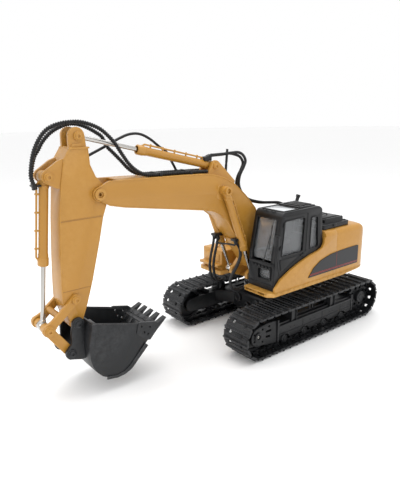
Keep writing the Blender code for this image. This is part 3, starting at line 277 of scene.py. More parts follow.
def plastic(name, colour, drift, grain, rough, bump, edge_highlight_colour=None, highlight_reach=0.06, metal=0.0, coat=0.0,
            variation=0.12, shine=0.5):
    """A moulded or painted finish with drift, grain and, if asked, a painted highlight on the outward edges."""
    mat = bpy.data.materials.new(name)
    mat.use_nodes = True
    mat.diffuse_color = (*colour, 1.0)
    tree = mat.node_tree
    shader = tree.nodes["Principled BSDF"]
    shader.inputs["Metallic"].default_value = metal
    shader.inputs["Coat Weight"].default_value = coat
    shader.inputs["Specular IOR Level"].default_value = shine
    shader.inputs["Coat Roughness"].default_value = 0.25
    base = group_node(tree, drift_group, Color=(*colour, 1.0), Amount=drift, Scale=14.0)
    tint = base.outputs["Color"]
    # Painted highlight: the lighter edge colour is mixed in where the edge mask is white.
    if edge_highlight_colour:
        mask = group_node(tree, highlight_group, Reach=highlight_reach)
        mix = tree.nodes.new("ShaderNodeMix")
        mix.data_type = "RGBA"
        tree.links.new(mask.outputs["Mask"], mix.inputs["Factor"])
        tree.links.new(tint, mix.inputs["A"])
        mix.inputs["B"].default_value = (*edge_highlight_colour, 1.0)
        tint = mix.outputs["Result"]
    tree.links.new(tint, shader.inputs["Base Color"])
    grit = group_node(tree, grain_group, Scale=grain, Roughness=rough, Variation=variation)
    tree.links.new(grit.outputs["Roughness"], shader.inputs["Roughness"])
    lift = tree.nodes.new("ShaderNodeBump")
    lift.inputs["Strength"].default_value = bump
    lift.inputs["Distance"].default_value = 0.0002
    tree.links.new(grit.outputs["Height"], lift.inputs["Height"])
    tree.links.new(lift.outputs["Normal"], shader.inputs["Normal"])
    return mat


# After the bump strength come the lighter edge colour, a painted highlight on the outward edges, and its reach.
OCHRE = plastic("ochre_plastic", (0.445, 0.212, 0.027), 0.20, 1300.0, 0.36, 0.35, (0.68, 0.40, 0.11), 0.20,
                coat=0.12)
BLACK = plastic("black_plastic", (0.0062, 0.0066, 0.0075), 0.5, 1500.0, 0.34, 0.4, (0.045, 0.045, 0.048),
                0.18, shine=0.32)
TRACK = plastic("track_plastic", (0.0055, 0.006, 0.0070), 0.6, 1100.0, 0.36, 0.5, (0.055, 0.057, 0.062),
                0.18, shine=0.34)
BUCKET = plastic("bucket_paint", (0.0105, 0.0115, 0.0130), 0.5, 800.0, 0.34, 0.4, (0.10, 0.10, 0.105), 0.16,
                 shine=0.36)
STEEL = plastic("bright_steel", (0.50, 0.485, 0.46), 0.10, 2200.0, 0.20, 0.12, metal=1.0, variation=0.08)
ZINC = plastic("zinc_metal", (0.42, 0.42, 0.43), 0.2, 1800.0, 0.36, 0.3, metal=0.85)
RUBBER = plastic("hose_rubber", (0.0075, 0.0078, 0.0085), 0.3, 1600.0, 0.42, 0.4, shine=0.35)
DECAL = plastic("dark_film", (0.0125, 0.013, 0.015), 0.3, 2400.0, 0.34, 0.1, shine=0.4)
LIGHT_PANE = plastic("roof_light_plastic", (0.62, 0.64, 0.66), 0.1, 1500.0, 0.18, 0.1)
RED_LINE = plastic("red_film", (0.30, 0.022, 0.020), 0.2, 2400.0, 0.32, 0.1)
BOARD = plastic("board_lacquer", (0.02, 0.16, 0.06), 0.2, 900.0, 0.40, 0.3)
WRAP = plastic("blue_wrap", (0.03, 0.09, 0.35), 0.2, 900.0, 0.35, 0.2)
CLOTH = plastic("seat_vinyl", (0.030, 0.030, 0.032), 0.4, 700.0, 0.60, 0.8)
print("finishes:", len(bpy.data.materials))

# %% Window panes


def pane_finish():
    """Clear plastic with a faint smoke: mostly see-through, glossy at a glancing view."""
    mat = bpy.data.materials.new("window_plastic")
    mat.use_nodes = True
    mat.diffuse_color = (0.3, 0.32, 0.33, 0.35)
    tree = mat.node_tree
    shader = tree.nodes["Principled BSDF"]
    shader.inputs["Metallic"].default_value = 0.0
    shader.inputs["Transmission Weight"].default_value = 0.0
    shader.inputs["IOR"].default_value = 1.45
    base = group_node(tree, drift_group, Color=(0.30, 0.31, 0.32, 1.0), Amount=0.2, Scale=20.0)
    tree.links.new(base.outputs["Color"], shader.inputs["Base Color"])
    grit = group_node(tree, grain_group, Scale=600.0, Roughness=0.10, Variation=0.06)
    tree.links.new(grit.outputs["Roughness"], shader.inputs["Roughness"])
    coords = tree.nodes.new("ShaderNodeTexCoord").outputs["Object"]
    haze = noise_node(tree, coords, 30.0, 3.0)
    alpha = math_node(tree, "ADD", math_node(tree, "MULTIPLY", haze, 0.12), 0.26)
    tree.links.new(alpha, shader.inputs["Alpha"])
    return mat


PANE = pane_finish()
print("panes:", PANE.name)

# %% Floor


def floor_finish():
    """A pale sweep with the faintest mottling."""
    mat = bpy.data.materials.new("pale_floor")
    mat.use_nodes = True
    tree = mat.node_tree
    shader = tree.nodes["Principled BSDF"]
    base = group_node(tree, drift_group, Color=(0.955, 0.955, 0.955, 1.0), Amount=0.01, Scale=3.0)
    tree.links.new(base.outputs["Color"], shader.inputs["Base Color"])
    shader.inputs["Roughness"].default_value = 0.6
    return mat


def build_floor():
    """A wide flat disc under the machine."""
    bm = bmesh.new()
    bmesh.ops.create_circle(bm, cap_ends=True, segments=96, radius=8.0)
    mesh = bpy.data.meshes.new("floor")
    bm.to_mesh(mesh)
    bm.free()
    mesh.materials.append(floor_finish())
    obj = bpy.data.objects.new("floor", mesh)
    obj.location = (0, 0, -0.0004)
    scene.collection.objects.link(obj)


build_floor()

# %% [markdown]
# ## Small tools for shapes
# Plates start as flat outlines given thickness, tubes as curves, turned parts as a profile and a
# Screw modifier.  Every finished mesh is moved into the model's frame in one place, so no piece
# keeps a location of its own.
# %% Outline points


def arc(x, z, r, a0, a1, n):
    """Points of an arc in degrees, both ends included."""
    out = []
    for i in range(n + 1):
        a = math.radians(a0 + (a1 - a0) * i / n)
        out.append((x + r * math.cos(a), z + r * math.sin(a)))
    return out


def circle(x, z, r, n=32):
    """Points of a circle."""
    return arc(x, z, r, 0, 360 * (n - 1) / n, n - 1)


def rounded(points, radii, n=6):
    """A polygon with its corners rounded; one radius for each corner."""
    out = []
    for i, p in enumerate(points):
        r = radii[i] if isinstance(radii, (list, tuple)) else radii
        here = Vector(p)
        a = Vector(points[i - 1]) - here
        b = Vector(points[(i + 1) % len(points)]) - here
        if r <= 0:
            out.append(tuple(p))
            continue
        cut_back = min(r / math.tan(a.angle(b) / 2), a.length * 0.49, b.length * 0.49)
        start = here + a.normalized() * cut_back
        end = here + b.normalized() * cut_back
        for k in range(n + 1):
            t = k / n
            q = start * (1 - t) ** 2 + here * 2 * t * (1 - t) + end * t ** 2
            out.append((q.x, q.y))
    return out


# %% Meshes from Blender's own tools
ALONG = {
    "z": Matrix.Identity(4),
    "y": Matrix(((1, 0, 0, 0), (0, 0, -1, 0), (0, 1, 0, 0), (0, 0, 0, 1))),
    "x": Matrix(((0, 0, 1, 0), (1, 0, 0, 0), (0, 1, 0, 0), (0, 0, 0, 1))),
}


def evaluated(obj):
    """The mesh that an object's curve or modifiers give; the object itself is removed."""
    scene.collection.objects.link(obj)
    graph = bpy.context.evaluated_depsgraph_get()
    mesh = bpy.data.meshes.new_from_object(obj.evaluated_get(graph), depsgraph=graph)
    bpy.data.objects.remove(obj)
    return mesh


def weld(mesh, distance=0.002):
    """Merge doubles and point the faces outwards."""
    bm = bmesh.new()
    bm.from_mesh(mesh)
    bmesh.ops.remove_doubles(bm, verts=list(bm.verts), dist=distance)
    bmesh.ops.recalc_face_normals(bm, faces=list(bm.faces))
    bm.to_mesh(mesh)
    bm.free()
    return mesh


def plate(loops, lo, hi, axis, edge=0.3):
    """A flat outline with holes, given thickness and softly rounded rims.

    axis 'y' takes (x, z) points, 'z' takes (x, y) points, 'x' takes (y, z) points.
    """
    curve = bpy.data.curves.new("outline", "CURVE")
    curve.dimensions = "2D"
    curve.fill_mode = "BOTH"
    curve.extrude = abs(hi - lo) / 2 - edge
    curve.bevel_depth = edge
    curve.offset = -edge
    curve.bevel_resolution = 1
    for loop in loops:
        spline = curve.splines.new("POLY")
        spline.points.add(len(loop) - 1)
        spline.use_cyclic_u = True
        for point, place in zip(spline.points, loop):
            point.co = (place[0], place[1], 0.0, 1.0)
    mesh = weld(evaluated(bpy.data.objects.new("outline", curve)))
    middle = (lo + hi) / 2
    shift = {"x": (middle, 0, 0), "y": (0, middle, 0), "z": (0, 0, middle)}[axis]
    mesh.transform(Matrix.Translation(shift) @ ALONG[axis])
    return mesh


def turned(profile, n=40):
    """A solid turned about the local Z axis from (radius, height) points."""
    mesh = bpy.data.meshes.new("profile")
    edges = [(i, i + 1) for i in range(len(profile) - 1)]
    if all(r > 1e-6 for r, _ in profile):
        edges.append((len(profile) - 1, 0))
    mesh.from_pydata([(r, 0.0, h) for r, h in profile], edges, [])
    obj = bpy.data.objects.new("profile", mesh)
    screw = obj.modifiers.new("turn", "SCREW")
    screw.steps = n
    screw.render_steps = n
    screw.use_merge_vertices = True
    screw.merge_threshold = 0.0001
    return weld(evaluated(obj))


def stand(mesh, start, end):
    """Stand a mesh on the line from start to end; its local Z follows the line."""
    direction = Vector(end) - Vector(start)
    turn = direction.to_track_quat("Z", "Y").to_matrix().to_4x4()
    mesh.transform(Matrix.Translation(Vector(start)) @ turn)
    return mesh


def knob(start, end, r, rim=0.4, n=32):
    """A round bar between two points with softened ends."""
    length = (Vector(end) - Vector(start)).length
    profile = [(0, 0), (r - rim, 0), (r - rim * 0.3, rim * 0.3), (r, rim), (r, length - rim),
               (r - rim * 0.3, length - rim * 0.3), (r - rim, length), (0, length)]
    return stand(turned(profile, n), start, end)


def block(x0, x1, y0, y1, z0, z1, edge=0.4):
    """A box between two corners with rounded edges."""
    bm = bmesh.new()
    size = Matrix.Diagonal((x1 - x0, y1 - y0, z1 - z0, 1.0))
    middle = Matrix.Translation(((x0 + x1) / 2, (y0 + y1) / 2, (z0 + z1) / 2))
    bmesh.ops.create_cube(bm, size=1.0, matrix=middle @ size)
    if edge:
        bmesh.ops.bevel(bm, geom=list(bm.edges), offset=edge, segments=2, profile=0.5, affect="EDGES")
    mesh = bpy.data.meshes.new("block")
    bm.to_mesh(mesh)
    bm.free()
    return mesh


def tube(points, r, sides=5, smooth=True):
    """A hose or wire through the points; the route is a smooth curve."""
    curve = bpy.data.curves.new("tube", "CURVE")
    curve.dimensions = "3D"
    curve.bevel_depth = r
    curve.bevel_resolution = sides
    curve.use_fill_caps = True
    curve.resolution_u = 10
    kind = "NURBS" if smooth else "POLY"
    spline = curve.splines.new(kind)
    spline.points.add(len(points) - 1)
    for point, place in zip(spline.points, points):
        point.co = (*place, 1.0)
    if smooth:
        spline.order_u = 3
        spline.use_endpoint_u = True
    return weld(evaluated(bpy.data.objects.new("tube", curve)))


def together(*meshes):
    """Several meshes as one."""
    bm = bmesh.new()
    for mesh in meshes:
        bm.from_mesh(mesh)
    out = bpy.data.meshes.new("joined")
    bm.to_mesh(out)
    bm.free()
    return out


def mirrored(mesh):
    """The same mesh for the other side of the machine."""
    out = mesh.copy()
    out.transform(Matrix.Scale(-1, 4, Vector((0, 1, 0))))
    out.flip_normals()
    return out


# %% Putting pieces in place
SHARP = math.radians(38.0)


def piece(name, mesh, finish, body, replaces=()):
    """A finished piece: mesh moved into the model's frame, finish on it, riding on its body."""
    mesh = mesh.copy()
    mesh.transform(TO_ROW)
    mesh.shade_smooth()
    mesh.set_sharp_from_angle(angle=SHARP)
    mesh.materials.clear()
    mesh.materials.append(finish)
    for face in mesh.polygons:
        face.material_index = 0
    obj = bpy.data.objects.new(name, mesh)
    mesh.name = name
    scene.collection.objects.link(obj)
    if body:
        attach(obj, body)
    if replaces:
        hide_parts(*replaces)
    return obj


print("tools ready")

# %% [markdown]
# ## Soft edges on the carried parts
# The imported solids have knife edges, which no moulding has.  A copy of each is merged, its flat
# triangles are dissolved into whole faces, and a narrow Bevel rounds every edge that turns by
# more than a set angle.  The copy stands in for the solid and keeps its exact size.
# %% Bevelled copies
BODY_OF = {node: body for body, nodes in frame["record"]["behaviour"]["bodies"].items() for node in nodes}


def clean_copy(node):
    """A merged copy of a part's mesh in machine millimetres, flat areas made whole."""
    bm = bmesh.new()
    bm.from_mesh(frame["nodes"][node].data)
    bmesh.ops.transform(bm, matrix=TO_ROW.inverted(), verts=list(bm.verts))
    bmesh.ops.remove_doubles(bm, verts=list(bm.verts), dist=0.01)
    bmesh.ops.dissolve_limit(bm, angle_limit=math.radians(0.6), verts=list(bm.verts), edges=list(bm.edges))
    mesh = bpy.data.meshes.new(node)
    bm.to_mesh(mesh)
    bm.free()
    return mesh


def softened(mesh, width=0.5, segments=2, angle=32.0):
    """A mesh with its edges rounded by a Bevel modifier."""
    obj = bpy.data.objects.new("soft", mesh)
    bevel = obj.modifiers.new("rim", "BEVEL")
    bevel.width = width
    bevel.segments = segments
    bevel.limit_method = "ANGLE"
    bevel.angle_limit = math.radians(angle)
    bevel.harden_normals = False
    return evaluated(obj)


def soft_part(node, finish, width):
    """A bevelled copy of one part, standing in for it."""
    piece(node + "_fine", softened(clean_copy(node), width), finish, BODY_OF[node], (node,))


OCHRE_PARTS = {"house_deck": 0.7, "body_cover_left": 0.5, "body_cover_right": 0.5, "tail_cover": 0.6,
               "tool_chest": 0.8, "boom": 0.7, "stick": 0.7, "rocker": 0.6, "bucket_link": 0.6}
BLACK_PARTS = {"cab_frame": 0.5, "engine_hood": 0.7, "engine_wall": 0.4, "carbody": 0.6,
               "exhaust_stub": 0.3, "side_mirror": 0.4, "track_frame_left": 0.35, "track_frame_right": 0.35,
               "drive_gear_case_left": 0.5, "drive_gear_case_right": 0.5}
for node, width in OCHRE_PARTS.items():
    soft_part(node, OCHRE, width)
for node, width in BLACK_PARTS.items():
    soft_part(node, BLACK, width)
soft_part("bucket", BUCKET, 0.45)
print("bevelled parts:", len(OCHRE_PARTS) + len(BLACK_PARTS) + 1)

# %% Finishes on the carried parts that keep their mesh


def dress(node, finish):
    """Give a carried part its finish."""
    obj = frame["nodes"][node]
    obj.data.materials.clear()
    obj.data.materials.append(finish)
    for face in obj.data.polygons:
        face.material_index = 0


for node in ("swing_ring_gear", "swing_pinion", "swing_motor", "elbow_pin", "bucket_pin"):
    dress(node, ZINC)
dress("boom_foot_pin", STEEL)
dress("receiver_board", BOARD)
dress("battery_pack", WRAP)
dress("driver_seat", CLOTH)
dress("roof_window", LIGHT_PANE)
for node in ("windscreen", "lower_front_window", "door_window_left", "quarter_window_left",
             "side_window_right"):
    dress(node, PANE)
for node in ("flank_panel_left", "flank_panel_right"):
    dress(node, DECAL)
print("dressed parts done")

# %% [markdown]
# ## Growing what repeats
# Shoes, bolts, slats and hose rings repeat by a rule, so Geometry Nodes grow them: a tree takes a
# path or a few points, puts one shape on each, makes the copies real and sets the finish.  The
# result is turned into a plain mesh at once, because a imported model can't hold instances.
# %% Geometry tree helpers


def grow_tree(name, inputs):
    """A geometry tree with named inputs after its geometry."""
    tree = bpy.data.node_groups.new(name, "GeometryNodeTree")
    tree.interface.new_socket("Geometry", in_out="INPUT", socket_type="NodeSocketGeometry")
    for title, kind, value in inputs:
        socket = tree.interface.new_socket(title, in_out="INPUT", socket_type=kind)
        if value is not None:
            socket.default_value = value
    tree.interface.new_socket("Geometry", in_out="OUTPUT", socket_type="NodeSocketGeometry")
    return tree, tree.nodes.new("NodeGroupInput"), tree.nodes.new("NodeGroupOutput")


def finish_tree(tree, group_in, group_out, geometry):
    """Every tree ends the same way: real geometry with its finish on it."""
    real = tree.nodes.new("GeometryNodeRealizeInstances")
    paint = tree.nodes.new("GeometryNodeSetMaterial")
    tree.links.new(geometry, real.inputs["Geometry"])
    tree.links.new(real.outputs["Geometry"], paint.inputs["Geometry"])
    tree.links.new(group_in.outputs["Finish"], paint.inputs["Material"])
    tree.links.new(paint.outputs["Geometry"], group_out.inputs["Geometry"])


def path_object(points, closed=False):
    """Loose points joined by edges, as the start of a tree."""
    edges = [(i, i + 1) for i in range(len(points) - 1)]
    if closed:
        edges.append((len(points) - 1, 0))
    mesh = bpy.data.meshes.new("path")
    mesh.from_pydata([tuple(p) for p in points], edges, [])
    return bpy.data.objects.new("path", mesh)


def grown(obj, tree, **settings):
    """Run a tree on an object and hand back the plain mesh; the object goes."""
    modifier = obj.modifiers.new("grow", "NODES")
    modifier.node_group = tree
    ids = {item.name: item.identifier for item in tree.interface.items_tree if item.in_out == "INPUT"}
    for title, setting in settings.items():
        modifier[ids[title.replace("_", " ")]] = setting
    return evaluated(obj)


def template(name, mesh):
    """A shape that a tree copies; it is removed when the tree has run."""
    return bpy.data.objects.new(name, mesh)


# %% [markdown]
# ## Tracks
# Each belt is a closed chain of moulded shoes: a flat plate with a raised grouser, notches where
# the drive teeth reach through, and two link bars underneath that nest into the next shoe.  One
# shoe is drawn lying flat, and a tree sets forty-six of them along the belt's path.
# %% Belt path and shoe sizes
WHEEL_X = PIN["idler_spin_left"].x
WHEEL_Z = (BELT_LOW.z + BELT_HIGH.z) / 2
BELT_MIDDLE_Y = (BELT_LOW.y + BELT_HIGH.y) / 2
BELT_HALF_WIDTH = (BELT_HIGH.y - BELT_LOW.y) / 2
GROUSER_TOP = (BELT_HIGH.z - BELT_LOW.z) / 2
PITCH_R = GROUSER_TOP - 4.0
SHOE_COUNT = 46
BELT_LENGTH = 4 * WHEEL_X + 2 * math.pi * PITCH_R
SHOE_PITCH = BELT_LENGTH / SHOE_COUNT


def belt_path(y):
    """The pitch line of a belt, clockwise seen from the left: back to front along the top."""
    front = arc(WHEEL_X, WHEEL_Z, PITCH_R, 90, -90, 60)
    rear = arc(-WHEEL_X, WHEEL_Z, PITCH_R, 270, 90, 60)
    return [(x, y, z) for x, z in front + rear]


def shoe_shape():
    """One shoe: X along the belt, Y across it, Z outwards, the pitch line at Z = 0."""
    long, wide, notch = SHOE_PITCH / 2 - 0.25, BELT_HALF_WIDTH, 1.5
    edge_points = [(-long, -wide), (long, -wide)]
    rim = [(long, -13.0), (long - notch, -13.0), (long - notch, -9.2), (long, -9.2)]
    rim += [(x, -y) for x, y in reversed(rim)]
    rear_rim = [(-x, -y) for x, y in rim]
    pad = plate([edge_points + rim + [(long, wide), (-long, wide)] + rear_rim], 0.7, 2.0, "z", 0.2)
    grouser = plate([[(1.6, 1.6), (4.6, 1.6), (3.9, 4.0), (2.5, 4.0)]], -wide + 0.3, wide - 0.3, "y", 0.25)
    ridge = plate([[(-4.0, 1.6), (-2.2, 1.6), (-2.7, 2.9), (-3.5, 2.9)]], -wide + 1.6, wide - 1.6, "y", 0.2)
    parts = [pad, grouser, ridge]
    for side in (-1, 1):
        y0, y1 = sorted((side * 3.6, side * 5.6))
        parts.append(block(-SHOE_PITCH / 2 - 1.2, 1.0, y0, y1, -1.9, 0.9, 0.3))
        y0, y1 = sorted((side * 5.8, side * 7.8))
        parts.append(block(-1.0, SHOE_PITCH / 2 + 1.2, y0, y1, -1.9, 0.9, 0.3))
        y0, y1 = sorted((side * (wide - 1.5), side * wide))
        parts.append(block(-long + 1.2, long - 1.2, y0, y1, -0.9, 0.9, 0.2))
    parts.append(knob((SHOE_PITCH / 2, -8.0, -0.5), (SHOE_PITCH / 2, 8.0, -0.5), 1.2, 0.2, 10))
    for y0, y1 in ((-wide + 1.8, -13.4), (-8.8, 8.8), (13.4, wide - 1.8)):
        parts.append(block(long - 1.5, long + 2.0, y0, y1, -0.3, 0.85, 0.1))
    return together(*parts)


print("shoe pitch:", round(SHOE_PITCH, 2), "mm, belt:", round(BELT_LENGTH), "mm")

# %% The tree that lays shoes along the belt
shoe_tree, t_in, t_out = grow_tree("shoe_chain", [
    ("Shoe", "NodeSocketObject", None), ("Shoe Count", "NodeSocketInt", SHOE_COUNT),
    ("Across", "NodeSocketVector", (0.0, 1.0, 0.0)), ("Finish", "NodeSocketMaterial", None)])
to_curve = add_node(shoe_tree, "GeometryNodeMeshToCurve", Mesh=t_in.outputs["Geometry"])
spots = add_node(shoe_tree, "GeometryNodeCurveToPoints", {"mode": "COUNT"},
                 Curve=to_curve.outputs["Curve"], Count=t_in.outputs["Shoe Count"])
turn = add_node(shoe_tree, "FunctionNodeAxesToRotation", {"primary_axis": "X", "secondary_axis": "Y"},
                Primary_Axis=spots.outputs["Tangent"], Secondary_Axis=t_in.outputs["Across"])
shape = add_node(shoe_tree, "GeometryNodeObjectInfo", Object=t_in.outputs["Shoe"])
lay = add_node(shoe_tree, "GeometryNodeInstanceOnPoints", Points=spots.outputs["Points"],
               Rotation=turn.outputs["Rotation"], Instance=shape.outputs["Geometry"])
finish_tree(shoe_tree, t_in, t_out, lay.outputs["Instances"])

shoe = template("shoe", shoe_shape())
for side, sign in (("left", 1), ("right", -1)):
    chain = grown(path_object(belt_path(sign * BELT_MIDDLE_Y), closed=True), shoe_tree, Shoe=shoe,
                  Finish=TRACK)
    track = piece("track_chain_" + side, chain, TRACK, "undercarriage",
                  ("track_belt_" + side,))
    print(track.name, "faces:", len(track.data.polygons))
bpy.data.objects.remove(shoe)

# %% [markdown]
# ## Wheels in the tracks
# The toothed wheels keep their cut shape with softened edges.  The idlers and rollers are turned
# shapes, so they are turned again from the same profile with many more steps, and get the small
# rings and caps that a lathe or a mould leaves on a hub.
# %% Sprockets, idlers and rollers


def hub_cap(x, z, y, out, r):
    """A stepped round cap on the end of an axle, facing out along Y."""
    profile = [(0, 0), (r, 0), (r, 0.8), (r * 0.82, 1.0), (r * 0.78, 0.5), (r * 0.55, 0.5), (r * 0.5, 1.4),
               (r * 0.30, 1.5), (r * 0.22, 1.0), (0, 1.0)]
    return stand(turned(profile, 28), (x, y, z), (x, y + out, z))


for side, sign in (("left", 1), ("right", -1)):
    sprocket = "drive_sprocket_" + side
    wheel = softened(clean_copy(sprocket), 0.4)
    low, high = limits(sprocket)
    outside = high.y if sign > 0 else low.y
    cap = hub_cap(-WHEEL_X, WHEEL_Z, outside - sign * 0.2, sign, 8.4)
    piece(sprocket + "_fine", together(wheel, cap), TRACK, BODY_OF[sprocket], (sprocket,))

    idler = "front_idler_" + side
    low, high = limits(idler)
    half, rim = (high.y - low.y) / 2, (high.z - low.z) / 2
    middle = (low.y + high.y) / 2
    profile = [(3.5, -half), (8.0, -half), (8.5, -half + 0.6), (8.5, -3.6), (9.4, -3.0), (18.4, -3.0),
               (19.2, -3.6), (19.2, -6.0), (19.8, -6.5), (rim - 0.6, -6.5), (rim, -5.8)]
    profile += [(r, -h) for r, h in reversed(profile)]
    idler_wheel = stand(turned(profile, 56), (WHEEL_X, middle, WHEEL_Z), (WHEEL_X, middle + 1, WHEEL_Z))
    piece(idler + "_fine", idler_wheel, TRACK, BODY_OF[idler], (idler,))

    for i in range(1, 5):
        roller = "road_roller_%d_%s" % (i, side)
        low, high = limits(roller)
        half, rim = (high.y - low.y) / 2, (high.z - low.z) / 2
        x, z, middle = (low.x + high.x) / 2, (low.z + high.z) / 2, (low.y + high.y) / 2
        profile = [(0, -half), (2.0, -half), (2.4, -half + 0.7), (3.4, -half + 0.7), (3.8, -half),
                   (rim - 0.9, -half), (rim, -half + 0.9), (rim, -3.4), (2.0, -3.4)]
        profile += [(r, -h) for r, h in reversed(profile)]
        wheel = stand(turned(profile, 28), (x, middle, z), (x, middle + 1, z))
        piece(roller + "_fine", wheel, TRACK, BODY_OF[roller], (roller,))
print("wheels done")

# %% [markdown]
# ## Bolts and rivets
# A toy of this size is held by small screws with round heads.  Their places are points that carry
# a direction, and one tree stands a head on each point.
# %% The bolt tree
bolt_tree, t_in, t_out = grow_tree("bolt_heads", [
    ("Head", "NodeSocketObject", None), ("Size", "NodeSocketFloat", 1.0),
    ("Finish", "NodeSocketMaterial", None)])
points = add_node(bolt_tree, "GeometryNodeMeshToPoints", Mesh=t_in.outputs["Geometry"])
facing = add_node(bolt_tree, "GeometryNodeInputNamedAttribute", {"data_type": "FLOAT_VECTOR"}, Name="facing")
turn = add_node(bolt_tree, "FunctionNodeAlignRotationToVector", {"axis": "Z"},
                Vector=facing.outputs["Attribute"])
shape = add_node(bolt_tree, "GeometryNodeObjectInfo", Object=t_in.outputs["Head"])
lay = add_node(bolt_tree, "GeometryNodeInstanceOnPoints", Points=points.outputs["Points"],
               Rotation=turn.outputs["Rotation"], Scale=t_in.outputs["Size"],
               Instance=shape.outputs["Geometry"])
finish_tree(bolt_tree, t_in, t_out, lay.outputs["Instances"])
HEX_HEAD = turned([(0, -0.6), (1.25, -0.6), (1.25, 0.25), (1.0, 0.3), (1.0, 0.95), (0.8, 1.1), (0, 1.1)], 6)
ROUND_HEAD = turned([(0, -0.6), (1.0, -0.6), (1.0, 0.3), (0.75, 0.7), (0.4, 0.85), (0.35, 0.45), (0, 0.45)],
                    12)


def bolts(name, spots, size, body, finish, head=None):
    """Heads at (place, direction) pairs, as one piece on one body."""
    mesh = bpy.data.meshes.new("bolt_places")
    mesh.from_pydata([tuple(place) for place, _ in spots], [], [])
    attribute = mesh.attributes.new("facing", "FLOAT_VECTOR", "POINT")
    for item, (_, direction) in zip(attribute.data, spots):
        item.vector = direction
    source = template("head", (head or HEX_HEAD).copy())
    heads = grown(bpy.data.objects.new("bolt_places", mesh), bolt_tree, Head=source, Size=size, Finish=finish)
    bpy.data.objects.remove(source)
    return piece(name, heads, finish, body)


def ring_of(x, z, y, out, r, count):
    """Bolt places on a circle that faces along Y."""
    out_dir = (0.0, float(out), 0.0)
    angles = [i * 2 * math.pi / count for i in range(count)]
    return [((x + r * math.cos(a), y, z + r * math.sin(a)), out_dir) for a in angles]


# %% Bolts on the running gear
DISC_FACE = 79.0
SWING_BOLTS, SWING_BOLT_R, SWING_RING_TOP = 20, 39.0, 60.0
for side, sign in (("left", 1), ("right", -1)):
    bolts("sprocket_bolts_" + side, ring_of(-WHEEL_X, WHEEL_Z, sign * DISC_FACE, sign, 17.6, 8), 0.7,
          BODY_OF["drive_sprocket_" + side], TRACK)
    low, high = limits("track_frame_" + side)
    face = high.y - 2.0 if sign > 0 else low.y + 2.0
    beam = [((x, face, 26.0), (0, sign, 0)) for x in (-80, -70, -42, -34, 0, 8, 42, 50)]
    beam += [((x, face, 33.0), (0, sign, 0)) for x in (-56, -20, 16, 30)]
    bolts("frame_bolts_" + side, beam, 0.8, "undercarriage", BLACK, ROUND_HEAD)
ring = []
for i in range(SWING_BOLTS):
    a = i * 2 * math.pi / SWING_BOLTS
    ring.append(((SWING_BOLT_R * math.cos(a), SWING_BOLT_R * math.sin(a), SWING_RING_TOP), (0, 0, 1)))
bolts("swing_ring_bolts", ring, 1.0, "undercarriage", ZINC)
print("running gear bolts done")

# %% [markdown]
# ## Track frames in detail
# The side plates carry the long box beam, upright ribs with flanges and the slotted nose round
# the idler.  These small walls are separate mouldings laid on the softened plate.
# %% Ribs, windows and roller rings
PLATE_FACE = 86.0


def window_rim(x0, x1):
    """The raised rim of a window in the side plate."""
    outer = rounded([(x0, 37.0), (x1, 37.0), (x1, 46.5), (x0, 46.5)], 1.5)
    inner = rounded([(x0 + 2, 39.0), (x1 - 2, 39.0), (x1 - 2, 44.5), (x0 + 2, 44.5)], 1.0)
    return plate([outer, inner], 78.0, 79.6, "y", 0.3)


def frame_ribs():
    """All small walls on the left side plate."""
    bars = [(-84, 74, 32.6, 34.4, 0.9), (-84, 72, 20.6, 21.8, 0.6)]
    bars += [(x - 0.8, x + 0.8, 21.5, 33.5, 0.5) for x in (-60, -18, 24)]
    parts = [block(x0, x1, PLATE_FACE - 3.0, PLATE_FACE + proud, z0, z1, 0.3) for x0, x1, z0, z1,
             proud in bars]
    for x in (44.0, -39.0):
        parts.append(block(x - 5.6, x - 4.4, 70.0, 87.2, 34.0, 50.5, 0.3))
        parts.append(block(x + 4.4, x + 5.6, 70.0, 87.2, 34.0, 50.5, 0.3))
        parts.append(block(x - 6.2, x + 6.2, 68.0, 87.4, 50.5, 52.4, 0.4))
    parts += [window_rim(2, 34), window_rim(-32, -2), block(-82, 42, 77.2, 79.0, 35.5, 37.6, 0.3)]
    for i in range(1, 5):
        low, high = limits("road_roller_%d_left" % i)
        x, z = (low.x + high.x) / 2, (low.z + high.z) / 2
        parts.append(plate([arc(x, z, 8.9, 14, 166, 12) + arc(x, z, 7.8, 166, 14, 12)], 84.0, 87.0, "y",
                           0.25))
    parts.append(plate([circle(WHEEL_X, WHEEL_Z, 6.4), circle(WHEEL_X, WHEEL_Z, 3.2)], 85.6, 87.4, "y", 0.3))
    nose = arc(WHEEL_X, WHEEL_Z, 12.6, -88, 88, 20) + arc(WHEEL_X, WHEEL_Z, 11.4, 88, -88, 20)
    parts.append(plate([nose], 85.4, 86.8, "y", 0.25))
    return together(*parts)


for side, turned_over in (("left", False), ("right", True)):
    ribs, axle = frame_ribs(), hub_cap(WHEEL_X, WHEEL_Z, 85.0, 1, 3.0)
    if turned_over:
        ribs, axle = mirrored(ribs), mirrored(axle)
    piece("frame_ribs_" + side, ribs, BLACK, "undercarriage")
    piece("idler_axle_cap_" + side, axle, STEEL, "undercarriage")
print("track frame details done")

# %% [markdown]
# ## Dummy cylinders
# The hydraulic cylinders are for show, but they slide.  A barrel is one turned profile with a
# stepped gland at its open end and a bore for the rod; a thin hard pipe runs along it in clips.
# Turning them again here gives round sides, and every length comes from the two pins.
# %% Barrels, glands, pipes and clips
LIFT_HEAD, LIFT_FOOT = PIN["lift_barrel_tilt"], PIN["lift_rod_tilt"]
STICK_HEAD, STICK_END = PIN["stick_barrel_tilt"], PIN["stick_rod_tilt"]
CURL_HEAD, CURL_END = PIN["bucket_barrel_tilt"], PIN["bucket_rod_tilt"]
BARREL_R = 5.0
BORE_R, GLAND_R, BORE_FLOOR = 4.5, 4.4, 17.0
ROD_R = 2.6
EYE_HOLE_R = 2.9
PIPE_R, PIPE_OFF = 1.1, 7.6


